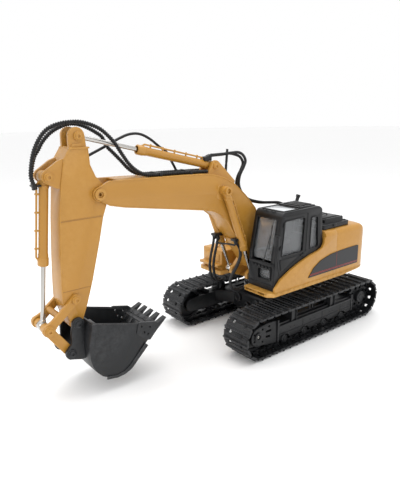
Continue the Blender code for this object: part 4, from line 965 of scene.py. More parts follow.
class Line:
    """Places measured from one pin towards another, in the plane of the boom."""

    def __init__(self, start, end, y):
        self.start, self.y = Vector((start.x, start.z)), y
        self.along = (Vector((end.x, end.z)) - self.start).normalized()
        self.length = (Vector((end.x, end.z)) - self.start).length

    def at(self, t, side=0.0, dy=0.0):
        x, z = self.start + self.along * t + Vector((-self.along.y, self.along.x)) * side
        return Vector((x, self.y + dy, z))


def eye(line, r, n, half):
    """The flat eye round a cylinder's pin."""
    x, z = line.start
    return plate([circle(x, z, r, n), circle(x, z, EYE_HOLE_R, 20)], line.y - half, line.y + half, "y", 0.5)


def barrel_shape(line, reach, eye_half, pipe_from, pipe_to, side, clips):
    """Turned barrel with base cap, gland, pipe and clips; the pipe bends in at both ends."""
    r = BARREL_R
    profile = [(0, 3.0), (r - 0.6, 3.0), (r, 3.6), (r, 9.0), (r + 0.5, 9.6), (r + 0.5, 12.0), (r, 12.6),
               (r, reach - 14), (r + 0.4, reach - 13.4), (r + 0.4, reach - 9.6), (r + 0.9, reach - 9.0),
               (r + 0.9, reach - 1.2), (r + 0.5, reach - 0.6), (r - 0.3, reach), (GLAND_R, reach - 0.2),
               (GLAND_R, reach - 3), (BORE_R, reach - 3), (BORE_R, BORE_FLOOR), (0, BORE_FLOOR)]
    parts = [stand(turned(profile, 36), line.at(0), line.at(1)), eye(line, 6.2, 28, eye_half)]
    run = [(pipe_from, 4.0), (pipe_from, 5.6), (pipe_from + 1.4, PIPE_OFF), (pipe_from + 5, PIPE_OFF),
           ((pipe_from + pipe_to) / 2, PIPE_OFF), (pipe_to - 5, PIPE_OFF), (pipe_to - 1.4, PIPE_OFF),
           (pipe_to, 5.6), (pipe_to, 4.0)]
    pipe = [line.at(t, side * off) for t, off in run]
    parts.append(tube(pipe, PIPE_R, 3))
    for t in (pipe_from, pipe_to):
        parts.append(knob(line.at(t, side * 4.4), line.at(t, side * 6.6), 1.9, 0.3, 6))
    for i in range(clips):
        t = pipe_from + (pipe_to - pipe_from) * (i + 0.6) / (clips + 0.2)
        parts.append(knob(line.at(t, side * 4.4), line.at(t, side * (PIPE_OFF + 1.9)), 1.1, 0.3, 10))
    return together(*parts)


def rod_shape(line, stop, eye_half, eye_r):
    """Bright rod from its eye towards the barrel; it stops short of the head pin."""
    profile = [(0, 3.0), (3.5, 3.0), (3.5, eye_r + 1.6), (ROD_R, eye_r + 2.2), (ROD_R, line.length - stop),
               (0, line.length - stop)]
    return together(stand(turned(profile, 28), line.at(0), line.at(1)), eye(line, eye_r, 30, eye_half))


def cylinder(barrel, rod, bodies, head, end, y, barrel_sizes, rod_sizes):
    """Both halves of a cylinder, each standing in for its own part and riding on its own body."""
    piece(barrel + "_fine", barrel_shape(Line(head, end, y), *barrel_sizes), OCHRE, bodies[0],
          (barrel,))
    piece(rod + "_fine", rod_shape(Line(end, head, y), *rod_sizes), STEEL, bodies[1], (rod,))


LIFT_Y = (limits("lift_barrel_left")[0].y + limits("lift_barrel_left")[1].y) / 2
for side, y in (("left", LIFT_Y), ("right", -LIFT_Y)):
    cylinder("lift_barrel_" + side, "lift_rod_" + side, ("lift_barrels", "lift_rods"), LIFT_HEAD, LIFT_FOOT,
             y, (92.0, 4.2, 16.0, 84.0, -1, 4), (30.0, 4.0, 5.0))
cylinder("stick_barrel", "stick_rod", ("stick_barrel", "stick_rod"), STICK_HEAD, STICK_END, 0.0,
         (114.0, 6.0, 14.0, 106.0, 1, 5), (48.0, 5.4, 5.6))
cylinder("bucket_barrel", "bucket_rod", ("bucket_barrel", "bucket_rod"), CURL_HEAD, CURL_END, 0.0,
         (96.0, 6.0, 7.0, 88.0, 1, 4), (50.0, 5.0, 5.6))
print("cylinders done")

# %% [markdown]
# ## Hoses
# Rubber hoses run from the bucket cylinder over the head of the stick and along the boom, and
# more loop from the boom's bend down behind the cab and from the lift cylinders to the house.
# Each is held at both ends and is one piece that rides on no body.  The corrugated ones are
# grown along their route: the radius rises and falls with a sine of the length, which gives
# the rings.
# %% Smooth routes


def smooth_route(points, steps=7):
    """A Catmull-Rom curve through the points of a route."""
    pts = [Vector(p) for p in points]
    pts = [pts[0] * 2 - pts[1]] + pts + [pts[-1] * 2 - pts[-2]]
    out = []
    for i in range(1, len(pts) - 2):
        a, b, c, d = pts[i - 1:i + 3]
        for k in range(steps):
            t = k / steps
            out.append(0.5 * (2 * b + (c - a) * t + (2 * a - 5 * b + 4 * c - d) * t ** 2
                              + (3 * b - a - 3 * c + d) * t ** 3))
    return out + [pts[-2]]


def route_length(points):
    """Length along a route, in millimetres."""
    return sum((b - a).length for a, b in zip(points, points[1:]))


# %% The hose tree
hose_tree, t_in, t_out = grow_tree("hose", [
    ("Radius", "NodeSocketFloat", 2.0), ("Ring Pitch", "NodeSocketFloat", 2.2),
    ("Ring Height", "NodeSocketFloat", 0.3), ("Step", "NodeSocketFloat", 0.5),
    ("Sides", "NodeSocketInt", 14), ("Finish", "NodeSocketMaterial", None)])
to_curve = add_node(hose_tree, "GeometryNodeMeshToCurve", Mesh=t_in.outputs["Geometry"])
steps = add_node(hose_tree, "GeometryNodeResampleCurve", {"mode": "LENGTH"},
                 Curve=to_curve.outputs["Curve"], Length=t_in.outputs["Step"])
along = add_node(hose_tree, "GeometryNodeSplineParameter")
phase = math_node(hose_tree, "DIVIDE", along.outputs["Length"], t_in.outputs["Ring Pitch"])
wave = math_node(hose_tree, "SINE", math_node(hose_tree, "MULTIPLY", phase, 2 * math.pi))
lift = math_node(hose_tree, "MULTIPLY", wave, t_in.outputs["Ring Height"])
section = add_node(hose_tree, "GeometryNodeCurvePrimitiveCircle", Radius=1.0,
                   Resolution=t_in.outputs["Sides"])
skin = add_node(hose_tree, "GeometryNodeCurveToMesh", Curve=steps.outputs["Curve"], Fill_Caps=True,
                Profile_Curve=section.outputs["Curve"],
                Scale=math_node(hose_tree, "ADD", t_in.outputs["Radius"], lift))
finish_tree(hose_tree, t_in, t_out, skin.outputs["Mesh"])


RING_PITCH = 2.6
HOSE_SIDES = 14


def hose(name, points, r, ring):
    """A hose along a route, as one piece that rides on no body."""
    route = smooth_route(points)
    mesh = grown(path_object(route), hose_tree, Radius=r, Ring_Pitch=RING_PITCH, Ring_Height=ring,
                 Step=0.55 if ring else 2.0, Sides=HOSE_SIDES, Finish=RUBBER)
    obj = piece(name, weld(mesh, 0.0001), RUBBER, None)
    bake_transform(obj)
    print(name, round(route_length(route)), "mm long,", round(2 * r, 1), "mm thick")


# %% Hoses over the head of the stick
OUTER_ROUTE = [(354.0, 4.0, 244.5), (356.4, 4.0, 252.0), (355.9, 4.2, 261.0), (352.4, 4.5, 275.7),
               (347.0, 5.0, 287.2), (340.0, 5.5, 296.6), (332.0, 6.0, 302.2), (321.6, 6.5, 305.4),
               (310.8, 7.0, 306.6), (299.8, 7.5, 306.3), (288.8, 8.0, 303.4), (277.9, 8.5, 298.3),
               (268.9, 9.0, 290.6), (261.2, 9.3, 281.7), (254.6, 9.5, 271.4), (246.6, 9.7, 259.8),
               (238.0, 10.0, 251.4), (228.0, 10.0, 245.8), (216.0, 10.0, 243.5), (175.0, 10.0, 242.3),
               (132.0, 9.0, 240.4)]
INNER_ROUTE = [(352.0, -4.0, 243.0), (353.4, -4.0, 252.0), (351.8, -4.4, 262.0), (347.8, -5.0, 273.0),
               (342.7, -5.4, 279.9), (337.6, -5.6, 287.4), (328.4, -5.8, 296.0), (316.8, -6.0, 301.9),
               (305.5, -6.0, 304.6), (294.5, -6.0, 303.2), (285.0, -6.2, 299.4), (276.6, -6.6, 294.8),
               (268.6, -7.0, 289.0), (263.8, -7.0, 279.0), (255.8, -7.0, 270.7), (247.3, -7.0, 262.0),
               (237.6, -6.5, 251.4), (228.6, -6.0, 245.8), (216.0, -6.0, 243.5), (175.0, -6.0, 242.3),
               (134.0, -6.5, 240.6)]
THIRD_ROUTE = [(291.0, -11.0, 266.5), (283.4, -11.0, 270.1), (262.6, -11.0, 278.6), (244.0, -11.0, 286.6),
               (230.5, -11.0, 290.5), (217.0, -11.0, 289.9), (203.4, -11.0, 283.6), (189.6, -11.0, 273.2),
               (181.0, -11.0, 267.9), (174.0, -11.0, 256.3), (168.5, -11.0, 247.0), (165.5, -11.0, 240.6)]
hose("hose_over_stick_outer", OUTER_ROUTE, 2.1, 0.42)
hose("hose_over_stick_inner", INNER_ROUTE, 2.1, 0.42)
hose("hose_stick_to_boom", THIRD_ROUTE, 1.6, 0.0)

# %% Hoses from the bend of the boom to the house
BACK_ROUTE_A = [(126.0, 2.5, 257.0), (121.0, 3.0, 259.4), (111.0, 3.6, 259.8), (99.0, 4.4, 260.0),
                (86.0, 5.0, 260.6), (75.5, 5.4, 260.4), (67.6, 5.8, 256.8), (62.6, 6.0, 248.6),
                (65.4, 5.0, 239.5), (69.6, 3.0, 230.0), (70.2, 1.0, 219.0), (66.6, 0.0, 209.0),
                (59.0, 0.0, 199.4), (50.4, 0.0, 193.4), (39.8, 0.5, 189.6), (23.7, 1.0, 185.7),
                (7.1, 1.5, 183.6), (-9.0, 2.0, 181.4), (-21.0, 2.0, 176.0), (-26.0, 2.0, 168.0),
                (-27.5, 2.0, 160.5)]
BACK_ROUTE_B = [(x, y - 5.2, z - (3.4 if 40 < x < 76 and z > 212 else 1.2)) for x, y, z in BACK_ROUTE_A]
for name, points in (("hose_boom_to_house_a", BACK_ROUTE_A), ("hose_boom_to_house_b", BACK_ROUTE_B)):
    hose(name, points, 1.9, 0.0)

# %% Hose pairs beside the lift cylinders
NEAR_ROUTE = [(95.0, 22.5, 142.6), (90.6, 22.0, 138.0), (85.6, 21.2, 130.2), (84.2, 20.6, 119.0),
              (90.6, 20.6, 106.2), (99.6, 20.8, 95.6), (103.6, 21.6, 86.0), (102.0, 24.0, 77.4),
              (93.0, 25.0, 73.2), (84.0, 26.0, 74.6)]
FAR_ROUTE = [(96.0, -22.5, 142.6), (96.8, -22.4, 136.0), (99.0, -22.0, 128.0), (102.4, -22.0, 116.0),
             (104.4, -22.2, 102.0), (103.0, -22.6, 90.4), (99.4, -23.6, 80.8), (92.0, -25.0, 75.0),
             (84.0, -26.0, 74.6)]
for name, points, sign in (("near", NEAR_ROUTE, -1), ("far", FAR_ROUTE, 1)):
    twin = [(x - 3.2, y + sign * 4.4, z - 0.6) for x, y, z in points]
    for tag, route in (("a", points), ("b", twin)):
        hose("hose_lift_%s_%s" % (name, tag), route, 1.9, 0.0)
print("hoses done")

# %% Hose ends and clamps


def ferrule(start, direction, r=2.6, length=6.0):
    """Crimped metal collar on a hose end, seated on the part along the hose's direction."""
    direction = Vector(direction).normalized()
    profile = [(0, 0), (r * 0.75, 0), (r, 0.5), (r, length * 0.3), (r * 0.88, length * 0.38),
               (r, length * 0.46), (r, length * 0.72), (r * 0.88, length * 0.8), (r, length * 0.88),
               (r * 0.9, length), (0, length)]
    return stand(turned(profile, 20), start, Vector(start) + direction)


def clamp(place, half_width):
    """A small saddle over hoses lying on the boom."""
    x, y, z = place
    return block(x - 1.8, x + 1.8, y - half_width, y + half_width, z - 3.2, z + 3.2, 0.6)


stick_ends = together(ferrule((353.6, 4.0, 240.5), (0.1, 0, 1)), ferrule((351.6, -4.0, 239.0), (0.1, 0, 1)),
                      block(347.0, 356.0, -5.4, 5.4, 243.0, 245.0, 0.5))
piece("hose_ends_bucket_barrel", stick_ends, BLACK, "bucket_barrel")
piece("hose_end_stick", ferrule((293.5, -11.0, 265.4), (-1, 0, 0.45), 2.2), BLACK, "stick")
boom_clamps = together(clamp((205.0, 2.0, 242.2), 11.6), clamp((160.0, 1.6, 241.0), 11.6),
                       ferrule((165.4, -11.0, 238.0), (0.15, 0, 1), 2.2),
                       ferrule((96.0, 3.4, 222.0), (0, 0, 1), 2.4, 14.0),
                       ferrule((96.0, 3.4, 236.0), (-0.1, 0, 1), 1.7, 30.0),
                       block(92.6, 99.4, -1.6, 8.6, 219.0, 224.0, 0.6))
piece("boom_hose_clamps", boom_clamps, BLACK, "boom")
piece("stick_barrel_hose_block", together(block(121.0, 132.5, -5.0, 5.6, 252.8, 258.2, 0.8),
                                          ferrule((126.5, 2.5, 256.8), (-1, 0.1, 0.4), 2.5, 8.0),
                                          ferrule((126.5, -2.7, 255.8), (-1, 0.1, 0.4), 2.5, 8.0)),
      BLACK, "stick_barrel")
lift_ends = []
for y, x in ((22.5, 95.0), (-22.5, 96.0)):
    sign = 1 if y > 0 else -1
    lift_ends.append(ferrule((x + 0.6, y, 145.6), (-0.3, 0, -1), 2.6, 7.0))
    lift_ends.append(ferrule((x - 2.6, y - sign * 4.4, 145.0), (-0.3, 0, -1), 2.6, 7.0))
    lift_ends.append(block(x - 12.0, x + 3.4, y - 7.0 if sign > 0 else y - 2.8,
                           y + 2.8 if sign > 0 else y + 7.0, 143.8, 147.4, 0.7))
lift_ends.append(tube([(94.0, 19.6, 137.5), (94.0, 6.0, 137.0), (94.4, -6.0, 134.5), (94.6, -19.6, 134.0)],
                      1.3, 3))
piece("lift_hose_ends", together(*lift_ends), BLACK, "lift_barrels")
print("hose fittings done")

# %% [markdown]
# ## Arm details
# Every pin of the arm ends in a turned boss with a screw recess, the flanks carry a moulded bead
# along their outline, and the stick shows the two parting lines where its halves meet.
# %% Bosses


def boss(x, z, y0, y1, r, hole=1.6):
    """A stepped round boss from y0 out to y1, with a recess in its face."""
    length = abs(y1 - y0)
    profile = [(0, 0), (r, 0), (r, length * 0.55), (r * 0.92, length * 0.62), (r * 0.72, length * 0.64),
               (r * 0.70, length - 0.3), (r * 0.62, length), (hole, length), (hole, length - 0.9),
               (0, length - 0.9)]
    return stand(turned(profile, 30), (x, y0, z), (x, y1, z))


def open_boss(x, z, y0, y1, r, bore):
    """A round boss with a deep open bore and a rim."""
    length = abs(y1 - y0)
    profile = [(0, 0), (r - 0.3, 0), (r - 0.3, length - 1.6), (r, length - 1.3), (r, length - 0.3),
               (r - 0.3, length), (bore + 0.3, length), (bore, length - 0.3), (bore, 1.0), (0, 1.0)]
    return stand(turned(profile, 36), (x, y0, z), (x, y1, z))


def both(mesh):
    """A shape and its mirror image."""
    return together(mesh, mirrored(mesh))


def bead(points, y, r=0.65, closed=True):
    """A moulded bead along an outline on both flanks."""
    route = [(x, y, z) for x, z in points]
    if closed:
        route.append(route[0])
    return both(tube(route, r, 2, smooth=False))


ELBOW, FOOT, ROCKER = PIN["stick_swing"], PIN["boom_lift"], PIN["rocker_swing"]
BUCKET_PIN, LINK_TOP = PIN["bucket_curl"], PIN["link_swing"]
link_low = limits("bucket_link")[0]
LINK_PIN = Vector((link_low.x + 5.6, 0, link_low.z + 5.6))

# %% Boom: beads, bosses and the bushed elbow
BOOM_EDGE = [(96.6, 158.8), (103.8, 171.0), (109.0, 177.2), (117.7, 183.9), (127.0, 189.0), (142.7, 192.6),
             (181.9, 199.2), (225.0, 206.3), (258.1, 211.8), (276.8, 216.2)]
BOOM_EDGE += arc(ELBOW.x, ELBOW.z, 7.3, -95, 62, 12)
BOOM_EDGE += [(275.5, 242.6), (223.2, 241.0), (180.5, 239.8), (141.9, 238.2), (125.6, 235.4), (108.8, 229.9),
              (91.6, 220.3), (73.5, 204.8), (54.5, 184.4), (42.4, 159.8), (36.6, 138.0)]
boom_parts = [bead(BOOM_EDGE, 17.3, 0.75, closed=False)]
boom_parts.append(both(open_boss(LIFT_HEAD.x, LIFT_HEAD.z, 28.2, 31.6, 5.4, 2.9)))
boom_parts.append(both(boss(STICK_HEAD.x, STICK_HEAD.z, 10.8, 13.6, 4.6)))
boom_parts.append(both(plate([[(112.0, 200.0), (124.0, 206.0), (121.5, 221.0), (112.0, 223.0),
                               (106.0, 214.0)]], 17.0, 18.0, "y", 0.3)))
boom_parts.append(block(228.0, 262.0, -12.0, 12.0, 241.0, 242.6, 0.4))
piece("boom_beads_and_bosses", together(*boom_parts), OCHRE, "boom")
profile = [(1.9, -18.4), (2.9, -18.4), (2.9, 18.4), (1.9, 18.4)]
bush = stand(turned(profile, 32), (ELBOW.x, 0, ELBOW.z), (ELBOW.x, 1, ELBOW.z))
piece("elbow_bush", bush, OCHRE, BODY_OF["elbow_pin"], ("elbow_pin",))
ring_profile = [(3.6, 18.6), (6.0, 18.6), (6.6, 19.0), (6.6, 19.5), (6.0, 19.9), (3.6, 19.9)]
ring = stand(turned(ring_profile, 36), (ELBOW.x, 0, ELBOW.z), (ELBOW.x, 1, ELBOW.z))
piece("elbow_rings", both(ring), OCHRE, "boom")

# %% Stick: beads, ear plate, parting lines and bosses
STICK_EDGE = [(315.5, 281.4), (323.6, 269.8), (329.2, 244.0), (333.4, 207.6), (337.1, 164.3),
              (339.1, 131.0), (339.5, 116.0), (335.6, 100.0)]
STICK_EDGE += arc(BUCKET_PIN.x, BUCKET_PIN.z, 7.0, 20, -195, 16)
STICK_EDGE += [(311.9, 107.0), (303.2, 133.7), (297.0, 156.1), (290.9, 178.2), (284.9, 203.0), (280.0, 215.6)]
STICK_EDGE += arc(ELBOW.x, ELBOW.z, 11.1, 200, 130, 6)
STICK_EDGE += [(289.9, 248.5), (295.6, 262.0), (296.4, 279.4)]
stick_parts = [bead(STICK_EDGE, 13.1, 0.6)]
stick_parts.append(both(block(294.6, 317.2, 6.9, 14.4, 279.2, 281.0, 0.5)))
stick_parts.append(block(306.5, 317.1, -8.0, 8.0, 279.3, 280.9, 0.4))
stick_parts.append(both(boss(STICK_END.x, STICK_END.z, 12.2, 15.4, 4.6)))
stick_parts.append(both(boss(CURL_HEAD.x, CURL_HEAD.z, 13.0, 16.2, 4.8)))
stick_parts.append(both(boss(ROCKER.x, ROCKER.z, 18.6, 21.6, 4.7)))
stick_parts.append(both(open_boss(ELBOW.x, ELBOW.z, 13.0, 13.5, 9.4, 4.2)))
stick_parts.append(both(plate([[(300.5, 281.0), (314.0, 281.0), (313.0, 285.0), (302.5, 285.0)]], 10.8,
                              12.0, "y", 0.3)))
piece("stick_beads_and_bosses", together(*stick_parts), OCHRE, "stick")
SEAM = plastic("seam_shadow", (0.30, 0.145, 0.030), 0.1, 1300.0, 0.6, 0.2)
seams = together(both(block(285.6, 333.4, 13.3, 13.62, 204.2, 204.9, 0.05)),
                 both(block(305.6, 339.0, 13.3, 13.62, 126.6, 127.3, 0.05)),
                 both(block(286.0, 333.2, 13.3, 13.55, 205.5, 205.8, 0.05)))
piece("stick_seams", seams, SEAM, "stick")

# %% Bucket linkage and bucket fittings
rocker_ends = both(boss(LINK_TOP.x, LINK_TOP.z, 20.2, 22.6, 5.0))
piece("rocker_end_caps", rocker_ends, OCHRE, "rocker")
bucket_parts = [both(boss(LINK_PIN.x, LINK_PIN.z, 17.2, 20.0, 5.2, 1.8)),
                both(boss(BUCKET_PIN.x, BUCKET_PIN.z, 17.3, 20.2, 5.8, 1.8))]
for k in range(5):
    y = (k - 2) * 14.4
    bucket_parts.append(plate([[(242.6, 60.6), (246.4, 56.0), (243.0, 50.8), (233.4, 58.4), (228.8, 62.6),
                                (230.4, 66.6), (237.0, 64.0)]], y - 4.1, y + 4.1, "y", 0.5))
    bucket_parts.append(knob((236.4, y - 4.7, 60.4), (236.4, y + 4.7, 60.4), 1.1, 0.3, 12))
BAND = [(303.0, 19.6), (290.2, 17.5), (281.4, 19.0), (273.8, 23.4), (262.6, 34.0), (250.4, 46.2)]
bucket_parts.append(both(tube([(x, 34.0, z) for x, z in BAND], 0.8, 2, smooth=False)))
RIM = [(242.5, 68.0), (262.6, 75.0), (290.0, 82.6), (315.8, 90.0)]
bucket_parts.append(both(tube([(x, 32.6, z) for x, z in RIM], 0.9, 2, smooth=False)))
bucket_parts.append(both(block(312.6, 317.0, 18.4, 33.2, 87.6, 90.6, 0.6)))
piece("bucket_fittings", together(*bucket_parts), BUCKET, "bucket")
foot_caps = both(boss(FOOT.x, FOOT.z, 19.0, 20.6, 4.8))
rod_caps = both(boss(LIFT_FOOT.x, LIFT_FOOT.z, 28.6, 31.0, 4.2))
piece("foot_bosses", together(foot_caps, rod_caps), OCHRE, "house")
print("arm details done")

# %% [markdown]
# ## Cab details
# The glass sits in dark rubber strips.  The door has its own seam, handle and hinges and a raised
# slanting panel below the window; the windscreen has a wiper and a grille under it.
# %% Strips, door, wiper and grille
cab_low, cab_high = limits("cab_frame")
CAB_OUT, CAB_IN, CAB_ROOF = cab_high.y, cab_low.y, 187.0
POST_IN, POST_OUT = CAB_IN + 5.2, CAB_OUT - 6.4
SCREEN_TOP = 177.4


def strip_ring(points, radius, width, y0, y1):
    """A rubber strip round an opening in the side of the cab."""
    middle = Vector((sum(p[0] for p in points) / len(points), sum(p[1] for p in points) / len(points)))
    wider = []
    for p in points:
        step = Vector(p) - middle
        wider.append((p[0] + math.copysign(width, step.x), p[1] + math.copysign(width, step.y)))
    return plate([rounded(wider, radius + width), rounded(points, radius)], y0, y1, "y", 0.3)


DOOR_GLASS = [(65.0, 129.0), (59.2, 175.0), (21.6, 175.0), (24.4, 129.0)]
QUARTER_GLASS = [(9.2, 130.0), (7.2, 173.0), (-4.6, 173.0), (-7.6, 130.0)]
strips = []
for y0, y1 in ((CAB_OUT - 0.6, CAB_OUT + 0.7), (CAB_IN - 0.7, CAB_IN + 0.6)):
    strips.append(strip_ring(DOOR_GLASS, 2.4, 1.5, y0, y1))
    strips.append(strip_ring(QUARTER_GLASS, 2.4, 1.5, y0, y1))
DOOR_EDGE = [(74.4, 131.0), (65.2, 181.0), (15.6, 181.0), (17.6, 128.0), (33.0, 121.0), (52.0, 112.6),
             (69.6, 103.0)]
strips.append(tube([(x, CAB_OUT + 0.1, z) for x, z in DOOR_EDGE + DOOR_EDGE[:1]], 0.45, 2, smooth=False))
strips.append(plate([rounded([(68.6, 124.6), (66.4, 108.4), (50.0, 117.0), (33.0, 124.2)], 1.5)],
                    CAB_OUT - 0.5, CAB_OUT + 0.8, "y", 0.35))
strips.append(block(19.0, 29.0, CAB_OUT, CAB_OUT + 1.8, 122.8, 125.2, 0.5))
strips.append(block(20.4, 24.0, CAB_OUT, CAB_OUT + 1.0, 120.4, 127.2, 0.4))
for z in (138.0, 168.0):
    strips.append(knob((70.4 - (z - 131.0) * 0.19, CAB_OUT + 0.8, z),
                       (70.0 - (z - 125.0) * 0.19, CAB_OUT + 0.8, z + 6.0), 1.0, 0.3, 12))


def screen_x(z):
    """Outer face of the sloping windscreen frame at a height."""
    return 76.6 - (z - 132.0) * 0.202 if z > 132.0 else 79.0 - (z - 82.3) * 0.0483


# frame round the windscreen, its cross bar and the grille below
for y in (POST_IN, POST_OUT):
    strips.append(tube([(screen_x(z) + 0.1, y, z) for z in (119.0, 132.0, 150.0, SCREEN_TOP)], 0.8, 2,
                       smooth=False))
top_bar = [(screen_x(SCREEN_TOP) + 0.1, y, SCREEN_TOP) for y in (POST_IN, POST_OUT)]
strips.append(tube(top_bar, 0.8, 2, smooth=False))
strips.append(block(75.4, 79.4, CAB_IN + 1.5, CAB_OUT - 1.5, 115.6, 119.6, 0.5))
for i in range(6):
    y = CAB_IN + 6.0 + i * 6.4
    strips.append(block(77.0, 78.9, y, y + 4.2, 111.8, 114.6, 0.3))
strips.append(plate([rounded([(CAB_IN + 17.4, 94.8), (CAB_OUT - 6.2, 95.2), (CAB_OUT - 6.2, 112.8),
                              (CAB_IN + 17.4, 111.8)], 2.6),
                     rounded([(CAB_IN + 19.2, 96.6), (CAB_OUT - 8.2, 97.2), (CAB_OUT - 8.2, 110.8),
                              (CAB_IN + 19.2, 109.8)], 2.0)], 77.4, 79.2, "x", 0.3))
strips.append(block(77.4, 79.6, CAB_IN + 2.0, CAB_OUT - 2.0, 88.6, 90.4, 0.4))
# roof: frame of the light, ribs and two lifting eyes
strips.append(plate([rounded([(28.6, 34.4), (60.2, 34.4), (60.2, 76.0), (28.6, 76.0)], 3.6),
                     rounded([(31.2, 36.8), (57.8, 36.8), (57.8, 73.8), (31.2, 73.8)], 2.8)],
                    CAB_ROOF - 0.5, CAB_ROOF + 0.9, "z", 0.35))
strips.append(block(25.6, 27.4, 36.0, 72.0, CAB_ROOF - 0.4, CAB_ROOF + 2.2, 0.4))
for y in (46.0, 62.0):
    strips.append(tube([(63.8, y - 3.0, 186.2), (63.6, y - 3.0, 188.6), (63.6, y + 3.0, 188.6),
                        (63.8, y + 3.0, 186.2)], 0.7, 2))
piece("cab_strips", together(*strips), RUBBER, "house")
piece("roof_light", block(30.6, 58.4, 36.2, 74.4, 184.6, 186.9, 0.4), LIGHT_PANE, "house")
wiper = [tube([(screen_x(122) + 1.5, 60.0, 122.0), (screen_x(140) + 1.6, 64.0, 140.0),
               (screen_x(156) + 1.6, 66.0, 156.0)], 0.5, 2, smooth=False),
         tube([(screen_x(138) + 1.2, 67.4, 138.0), (screen_x(170) + 1.2, 66.6, 170.0)], 0.6, 2,
              smooth=False), knob((screen_x(122) - 0.2, 60.0, 122.0), (screen_x(122) + 2.0, 60.0, 122.0),
                                  1.6, 0.3, 16)]
piece("windscreen_wiper", together(*wiper), BLACK, "house")

# %% Inside the cab: levers, console and mirror face
inside = [block(44.0, 62.0, 40.0, 66.0, 83.0, 84.6, 0.4), block(56.0, 66.0, 44.0, 62.0, 84.0, 108.0, 0.8)]
for y in (37.0, 69.4):
    inside.append(tube([(30.0, y, 111.0), (33.0, y, 120.0), (32.0, y, 126.0)], 0.7, 2))
    inside.append(knob((32.0, y, 125.0), (31.4, y, 130.0), 1.6, 0.6, 16))
for y in (48.0, 57.0):
    inside.append(tube([(50.0, y, 84.0), (50.0, y, 104.0), (46.0, y, 112.0)], 0.8, 2))
    inside.append(block(47.0, 53.0, y - 3.0, y + 3.0, 85.0, 86.6, 0.4))
piece("cab_controls", together(*inside), BLACK, "house")
mirror_side = limits("side_mirror")[1].y
face = plate([rounded([(mirror_side - 6.8, 147.6), (mirror_side - 1.2, 147.6), (mirror_side - 1.2, 158.4),
                       (mirror_side - 6.2, 158.4)], 1.2)], 77.1, 77.8, "x", 0.2)
piece("mirror_face", face, STEEL, "house")
print("cab details done")

# %% [markdown]
# ## House details
# Slats and a latch on the hood, the film with its thin red lines on the flank, the seam between
# the covers, a grille in the tail, a latch and handle on the chest and the rim of the exhaust.
# %% Slats by a tree
slat_tree, t_in, t_out = grow_tree("slat_row", [
    ("Slat", "NodeSocketObject", None), ("Slat Count", "NodeSocketInt", 8),
    ("Spacing", "NodeSocketVector", (0.0, 4.0, 0.0)), ("Finish", "NodeSocketMaterial", None)])
row_of = add_node(slat_tree, "GeometryNodeMeshLine", {"mode": "OFFSET"},
                  Count=t_in.outputs["Slat Count"], Offset=t_in.outputs["Spacing"])
shape = add_node(slat_tree, "GeometryNodeObjectInfo", Object=t_in.outputs["Slat"])
lay = add_node(slat_tree, "GeometryNodeInstanceOnPoints", Points=row_of.outputs["Mesh"],
               Instance=shape.outputs["Geometry"])
finish_tree(slat_tree, t_in, t_out, lay.outputs["Instances"])


def slats(name, shape_mesh, count, spacing, finish):
    """A row of equal slats riding on the house."""
    source = template("slat", shape_mesh)
    holder = bpy.data.objects.new("slat_row", bpy.data.meshes.new("slat_row"))
    rows = grown(holder, slat_tree, Slat=source, Slat_Count=count, Spacing=spacing, Finish=finish)
    bpy.data.objects.remove(source)
    return piece(name, rows, finish, "house")


slats("hood_slats", block(-69.0, -41.0, -55.0, -53.0, 155.4, 157.6, 0.3), 8, (0.0, 4.2, 0.0), BLACK)
slats("hood_louvres", plate([[(-81.9, 150.6), (-83.2, 151.6), (-81.9, 152.8)]], -50.0, 70.0, "y", 0.15), 2,
      (0.0, 0.0, 2.4), BLACK)
slats("engine_wall_slats", block(-22.8, -21.4, -17.0, 17.0, 92.0, 94.4, 0.3), 11, (0.0, 0.0, 4.8), BLACK)
slats("tail_grille", block(-123.0, -121.4, -34.0, 34.0, 98.0, 100.2, 0.35), 7, (0.0, 0.0, 4.4), BLACK)
slats("flank_louvres_right", block(-88.0, -62.0, -85.6, -84.0, 93.0, 94.6, 0.3), 6, (0.0, 0.0, 3.4), BLACK)

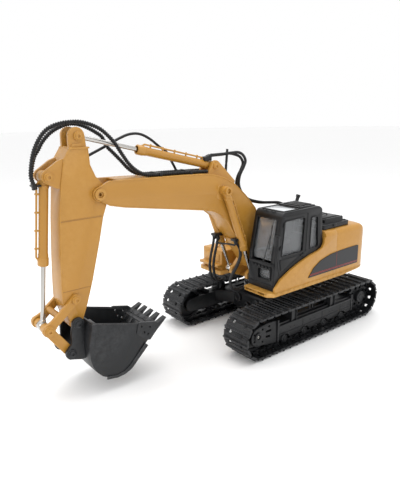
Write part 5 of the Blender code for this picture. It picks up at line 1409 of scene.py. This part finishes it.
# %% Hood, film lines, seams, chest and exhaust
hood_side = limits("engine_hood")[1].y
hood = [block(-52.0, -44.0, hood_side - 1.0, hood_side + 1.2, 151.6, 155.4, 0.5),
        block(-74.0, -36.0, 66.6, 69.4, 161.2, 162.6, 0.4),
        block(-74.0, -72.0, -18.0, 68.0, 161.2, 162.4, 0.4),
        tube([(-60.0, 52.0, 163.0), (-60.0, 52.0, 165.6), (-46.0, 52.0, 165.6), (-46.0, 52.0, 163.0)], 0.8,
             2)]
for x, y in ((-78.0, 70.0), (-28.0, 70.0), (-78.0, -50.0), (-28.0, -50.0)):
    hood.append(knob((x, y, 155.6), (x, y, 157.0), 2.0, 0.4, 16))
pipe = [(0, 0), (3.3, 0), (3.3, 3.4), (2.2, 3.4), (2.2, 1.0), (0, 1.0)]
hood.append(stand(turned(pipe, 24), (-33.0, 18.0, 188.6), (-33.4, 18.0, 189.6)))
piece("hood_fittings", together(*hood), BLACK, "house")
SEAM_AT = limits("body_cover_left")[0].x
film_face = limits("flank_panel_left")[1].y
lines = []
for z in (91.6, 93.0):
    lines.append(block(-96.0, 12.6 - (z - 91.6) * 0.9, film_face - 0.1, film_face + 0.18, z, z + 0.6, 0.05))
lines.append(block(SEAM_AT - 0.2, SEAM_AT + 0.2, film_face - 0.1, film_face + 0.12, 90.0, 116.0, 0.05))
piece("film_lines", both(together(*lines)), RED_LINE, "house")
chest = [block(44.0, 50.0, -37.0, -34.8, 100.0, 106.0, 0.4),
         block(26.0, 68.0, -80.6, -35.4, 108.6, 109.8, 0.3),
         tube([(34.0, -58.0, 111.8), (34.0, -58.0, 114.4), (60.0, -58.0, 114.4), (60.0, -58.0, 111.8)], 0.9,
              2), block(69.6, 71.2, -74.0, -42.0, 94.0, 106.0, 0.5)]
piece("chest_fittings", together(*chest), OCHRE, "house")
deck_front = limits("house_deck")[1].x
skirt = [block(deck_front - 1.0, deck_front + 0.7, 34.0, 76.0, 81.0, 82.4, 0.4)]
skirt.append(tube([(x, 83.6, 82.3) for x in (-98.0, -40.0, 20.0, 80.0)], 0.5, 2, smooth=False))
piece("deck_lip", together(*skirt), OCHRE, "house")
rounds = []
for y, z, r in ((-20.0, 40.0, 6.8), (20.0, 40.0, 6.8), (0.0, 32.0, 5.4)):
    ring = [(r * 0.55, 0), (r, 0), (r, 1.6), (r * 0.9, 2.0), (r * 0.66, 2.0), (r * 0.55, 1.4)]
    for sign in (-1, 1):
        if r < 6 and sign < 0:
            continue
        rounds.append(stand(turned(ring, 28), (sign * 52.0, y, z), (sign * 53.0, y, z)))
piece("carbody_rings", together(*rounds), BLACK, "undercarriage")
print("house details done")
